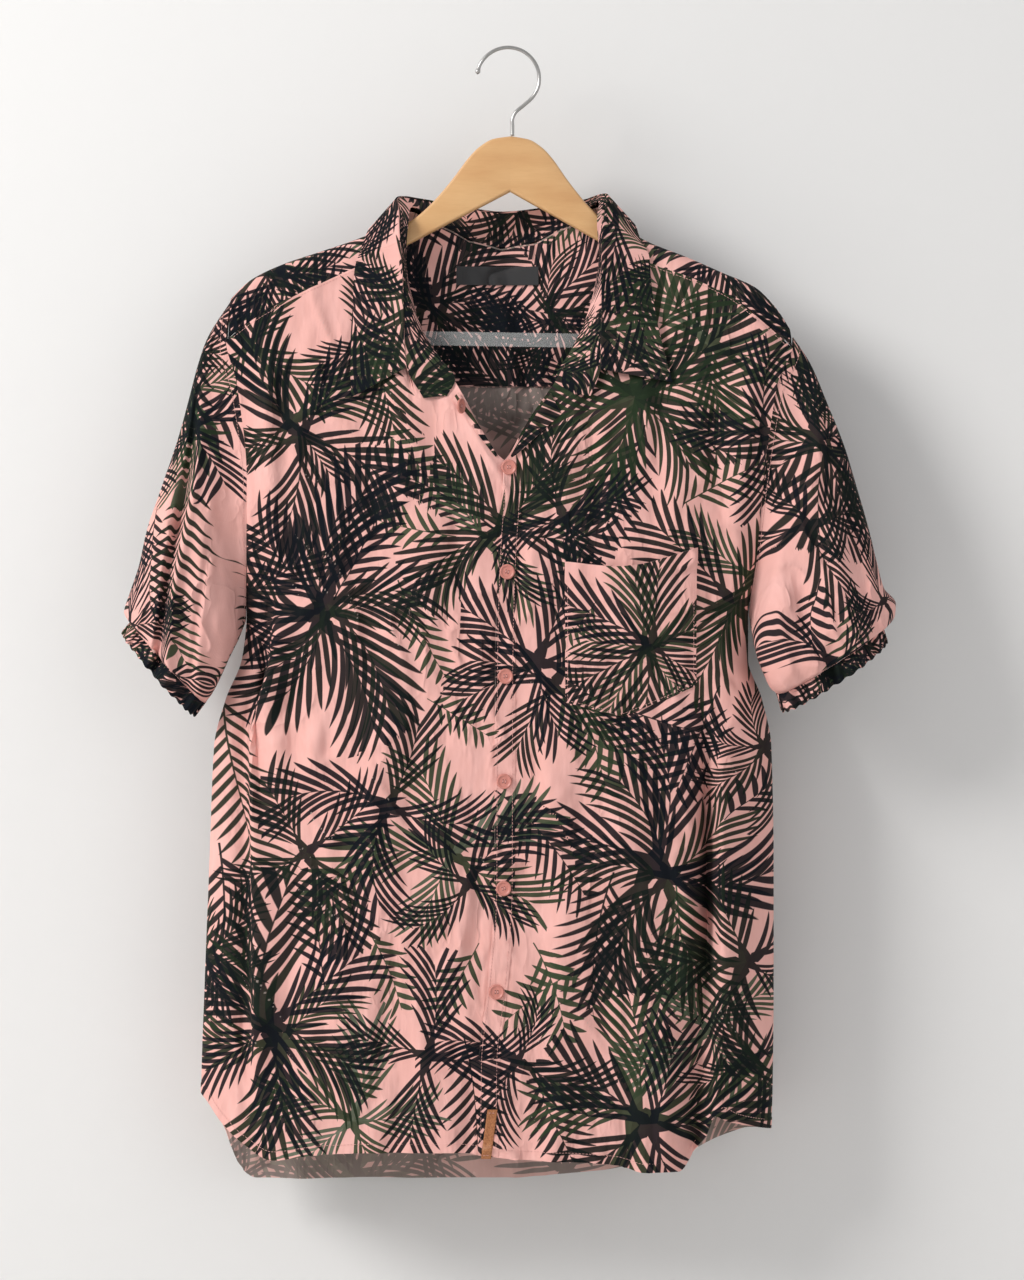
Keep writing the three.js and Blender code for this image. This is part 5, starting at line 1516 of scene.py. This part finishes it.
# Label and leather tab
label_material, label_tree, label_shader = new_material(
    "woven label", (0.012, 0.012, 0.014), 0.55, Sheen_Weight=0.2)
label_place = label_tree.nodes.new("ShaderNodeTexCoord").outputs["Object"]
ribs = threads(label_tree, label_place, "Z", 0.0005) + threads(label_tree, label_place, "X", 0.0005)
shade_between(label_tree, label_shader, (ribs * 0.5).edge(1), (0.009, 0.009, 0.01), (0.015, 0.015, 0.017))
bump(label_tree, label_shader, ribs, 0.5, 0.0002)
leather_material, leather_tree, leather_shader = new_material("tan leather", (0.36, 0.13, 0.04), 0.5)
grain = object_noise(leather_tree, 900, 6)
shade_between(leather_tree, leather_shader, (grain - 0.3).edge(0.4), (0.25, 0.08, 0.025), (0.47, 0.19, 0.07))
bump(leather_tree, leather_shader, grain, 0.5, 0.0003)


def neck_label():
    u, v = np.meshgrid(np.linspace(-0.5, 0.5, 60), np.linspace(0.5, -0.5, 16))
    x, z = LABEL["x"] + u * LABEL["width"], LABEL["z"] + v * LABEL["height"]
    puff = 0.5 * np.cos(math.pi * u) * np.cos(math.pi * v)
    grid = np.stack([x, layer_y(1, x, z) - LABEL["depth"] - puff, z], -1)
    piece = shell("woven_neck_label", grid, np.stack([x, z], -1), outward=-1, thick=0.5, lift=0)
    assign(piece, "neck_label", label_material)


def leather_tab():
    u, v = np.meshgrid(np.linspace(-0.5, 0.5, 14), np.linspace(0, 1, 44))
    x = lerp(TAB["top"][0], TAB["base"][0], v) + u * TAB["width"]
    z = lerp(TAB["top"][1], TAB["base"][1], v)
    grid, flat = on_front("left_front", x, z, TAB["out"] - 1.1)
    edge = np.maximum(np.abs(u) * 2, np.abs(v * 2 - 1))
    thick = TAB["thick"] * (1 - 0.3 * smooth(0.8, 1, edge))
    piece = shell("leather_hem_tab", grid, flat, outward=-1, thick=thick, lift=0)
    assign(piece, "leather_tab", leather_material)
    on_leather = grid + SEWN["tab"] * OUT_FRONT
    stitching("stitches_tab", [stitch_line(on_leather[row, 1:-1], OUT_FRONT) for row in (3, -4)])


neck_label()
leather_tab()


# Hanger
def tilted(points):
    points = np.asarray(points, float)
    return points @ np.array(Matrix.Rotation(TILT, 3, "Y")).T


wood_material, wood_tree, wood_shader = new_material(
    "maple", (0.72, 0.4, 0.15), 0.36, Coat_Weight=0.35, Coat_Roughness=0.25)
wood_place = wood_tree.nodes.new("ShaderNodeTexCoord").outputs["Object"]
rings = noise_texture(wood_tree, stretched(wood_tree, wood_place, (1, 3, 4)), 16, 4)
pores = noise_texture(wood_tree, stretched(wood_tree, wood_place, (1, 14, 30)), 90, 4)
grain_colour = mix_colour(wood_tree, (rings - 0.3).edge(0.4), (0.61, 0.33, 0.135), (0.7, 0.42, 0.19))
grain_colour = mix_colour(wood_tree, (pores - 0.5).edge(0.3) * 0.3, grain_colour, (0.5, 0.25, 0.09))
wood_tree.links.new(grain_colour.socket, wood_shader.inputs["Base Color"])
bump(wood_tree, wood_shader, pores, 0.12, 0.0003)


def hanger_body():
    """Rounded sections across the wood, from one end to the other."""
    steps = np.sin(np.linspace(-math.pi / 2, math.pi / 2, 141)) * 214
    steps = np.sort(np.concatenate([steps, np.linspace(-30, 30, 31)]))
    corner, deep = 3.4, HANGER_THICK / 2
    top = along(HANGER_TOP, "x", "z", np.abs(steps))
    base = along(HANGER_BASE, "x", "z", np.abs(steps))
    high = np.maximum((top - base) / 2, 0.02)
    rounding = np.minimum(corner, high)
    sides = 36
    rings = []
    for k in range(sides):
        angle = 2 * math.pi * (k + 0.5) / sides
        up, out = math.sin(angle), math.cos(angle)
        z = (top + base) / 2 + math.copysign(1, up) * (high - rounding) + rounding * up
        y = math.copysign(deep - corner, out) + corner * out * np.sqrt(rounding / corner)
        rings.append(np.stack([steps, y, z], -1))
    points = np.stack(rings, 1).reshape(-1, 3)
    piece = make_object("hanger_wood", tilted(points), closed_loft(len(steps), sides))
    piece.data.set_sharp_from_angle(angle=math.radians(60))
    assign(piece, "hanger_body", wood_material)


steel_material, steel_tree, steel_shader = new_material(
    "brushed steel", (0.45, 0.44, 0.42), 0.28, Metallic=1.0)
scratch = object_noise(steel_tree, 900, 3, (1, 1, 0.2))
shade_between(steel_tree, steel_shader, scratch.edge(1), (0.36, 0.35, 0.34), (0.55, 0.54, 0.52))
bump(steel_tree, steel_shader, scratch, 0.15, 0.0001)


def hanger_hook():
    arc = []
    for share in np.linspace(0, 1, 13):
        angle = math.radians(lerp(HOOK["tip"], HOOK["end"], share))
        arc.append((HOOK["x"] + HOOK["radius"] * math.cos(angle), 0,
                    HOOK["z"] + HOOK["radius"] * math.sin(angle)))
    path = catmull(arc + [(x, 0, z) for x, z in HOOK_NECK], np.linspace(0, 1, 150))
    gone = run_length(path)
    bead = HOOK["ball"]
    radii = HOOK["wire"] + (bead - HOOK["wire"]) * np.exp(-((gone - bead) / 2.2) ** 2)
    radii = radii * np.sqrt(np.clip(gone / 1.6, 0.02, 1))
    ahead = np.gradient(path, axis=0)
    across = np.array([0.0, 1.0, 0.0])
    up = np.cross(ahead, across)
    up /= np.linalg.norm(up, axis=1, keepdims=True)
    sides = 20
    angles = 2 * math.pi * np.arange(sides) / sides
    tube = path[:, None] + radii[:, None, None] * (
        np.cos(angles)[None, :, None] * up[:, None] + np.sin(angles)[None, :, None] * across)
    faces = [face[::-1] for face in closed_loft(len(path), sides)]
    piece = make_object("hanger_steel_hook", tube.reshape(-1, 3), faces)
    assign(piece, "hanger_hook", steel_material)


hanger_body()
hanger_hook()
clear_material, clear_tree, clear_shader = new_material(
    "clear plastic", (0.9, 0.92, 0.91), 0.12, Alpha=0.14, IOR=1.46)
bump(clear_tree, clear_shader, object_noise(clear_tree, 60, 1), 0.05, 0.0004)
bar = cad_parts["hanger_bar"]
bar.data.materials.clear()
bar.data.materials.append(clear_material)


# Wall, floor, light and camera
CAMERA_DISTANCE = 4.2
PHOTO_HEIGHT = 1.0944
PHOTO_CENTRE = (-0.0004, -0.5087)
WALL = {"size": 6000, "y": 0.085, "colour": (0.79, 0.785, 0.775)}
FLOOR = {"size": 8000, "z": -1.45, "colour": (0.8, 0.78, 0.76)}
SKY = {"colour": (0.93, 0.94, 0.96, 1), "strength": 0.53}
SENSOR_HEIGHT = 24
FRONT_OF_SHIRT = 0.03


def stage_plane(name, size, place, turn, colour):
    half = size / 2
    plane = make_object(name, [(-half, -half, 0), (half, -half, 0), (half, half, 0), (-half, half, 0)],
                        [[0, 1, 2, 3]])
    plane.location = place
    plane.rotation_euler = turn
    material, tree, shader = new_material(name, colour, 0.9)
    through = tree.nodes.new("ShaderNodeBsdfTransparent")
    mixed = tree.nodes.new("ShaderNodeMixShader")
    sides = tree.nodes.new("ShaderNodeNewGeometry")
    tree.links.new(sides.outputs["Backfacing"], mixed.inputs[0])
    tree.links.new(shader.outputs[0], mixed.inputs[1])
    tree.links.new(through.outputs[0], mixed.inputs[2])
    tree.links.new(mixed.outputs[0], tree.nodes["Material Output"].inputs["Surface"])
    plane.data.materials.append(material)


def area_light(name, place, aim, size, power, colour=(1, 1, 1)):
    light = bpy.data.lights.new(name, "AREA")
    light.shape = "DISK"
    light.size = size
    light.energy = power
    light.color = colour
    lamp = bpy.data.objects.new(name, light)
    lamp.location = place
    bpy.context.scene.collection.objects.link(lamp)
    away = np.array(aim, float) - np.array(place, float)
    lamp.rotation_euler = (
        math.atan2(math.hypot(away[0], away[1]), -away[2]), 0, math.atan2(away[1], away[0]) - math.pi / 2)


stage_plane("pale_wall", WALL["size"], (0, WALL["y"], -0.5), (math.pi / 2, 0, 0), WALL["colour"])
stage_plane("pale_floor", FLOOR["size"], (0, 0, FLOOR["z"]), (0, 0, 0), FLOOR["colour"])
area_light("window_light", (-2.5, -1.9, 1.1), (0, 0, -0.5), 1.4, 90, (1, 0.985, 0.97))
area_light("fill_light", (2.2, -3.2, 0.1), (0, 0, -0.5), 2.4, 12)
area_light("back_light", (0.8, 2.8, 1.2), (0, 0, -0.4), 2.0, 60)

world = bpy.data.worlds.new("studio")
world.use_nodes = True
background = world.node_tree.nodes["Background"]
background.inputs["Color"].default_value = SKY["colour"]
background.inputs["Strength"].default_value = SKY["strength"]
bpy.context.scene.world = world

lens = bpy.data.cameras.new("photo_camera")
lens.sensor_fit = "VERTICAL"
lens.sensor_height = SENSOR_HEIGHT
lens.lens = SENSOR_HEIGHT * (CAMERA_DISTANCE - FRONT_OF_SHIRT) / PHOTO_HEIGHT
camera = bpy.data.objects.new("photo_camera", lens)
camera.location = (PHOTO_CENTRE[0], -CAMERA_DISTANCE, PHOTO_CENTRE[1])
camera.rotation_euler = (math.pi / 2, 0, 0)
bpy.context.scene.collection.objects.link(camera)
bpy.context.scene.camera = camera
bpy.context.scene.view_settings.view_transform = "Standard"
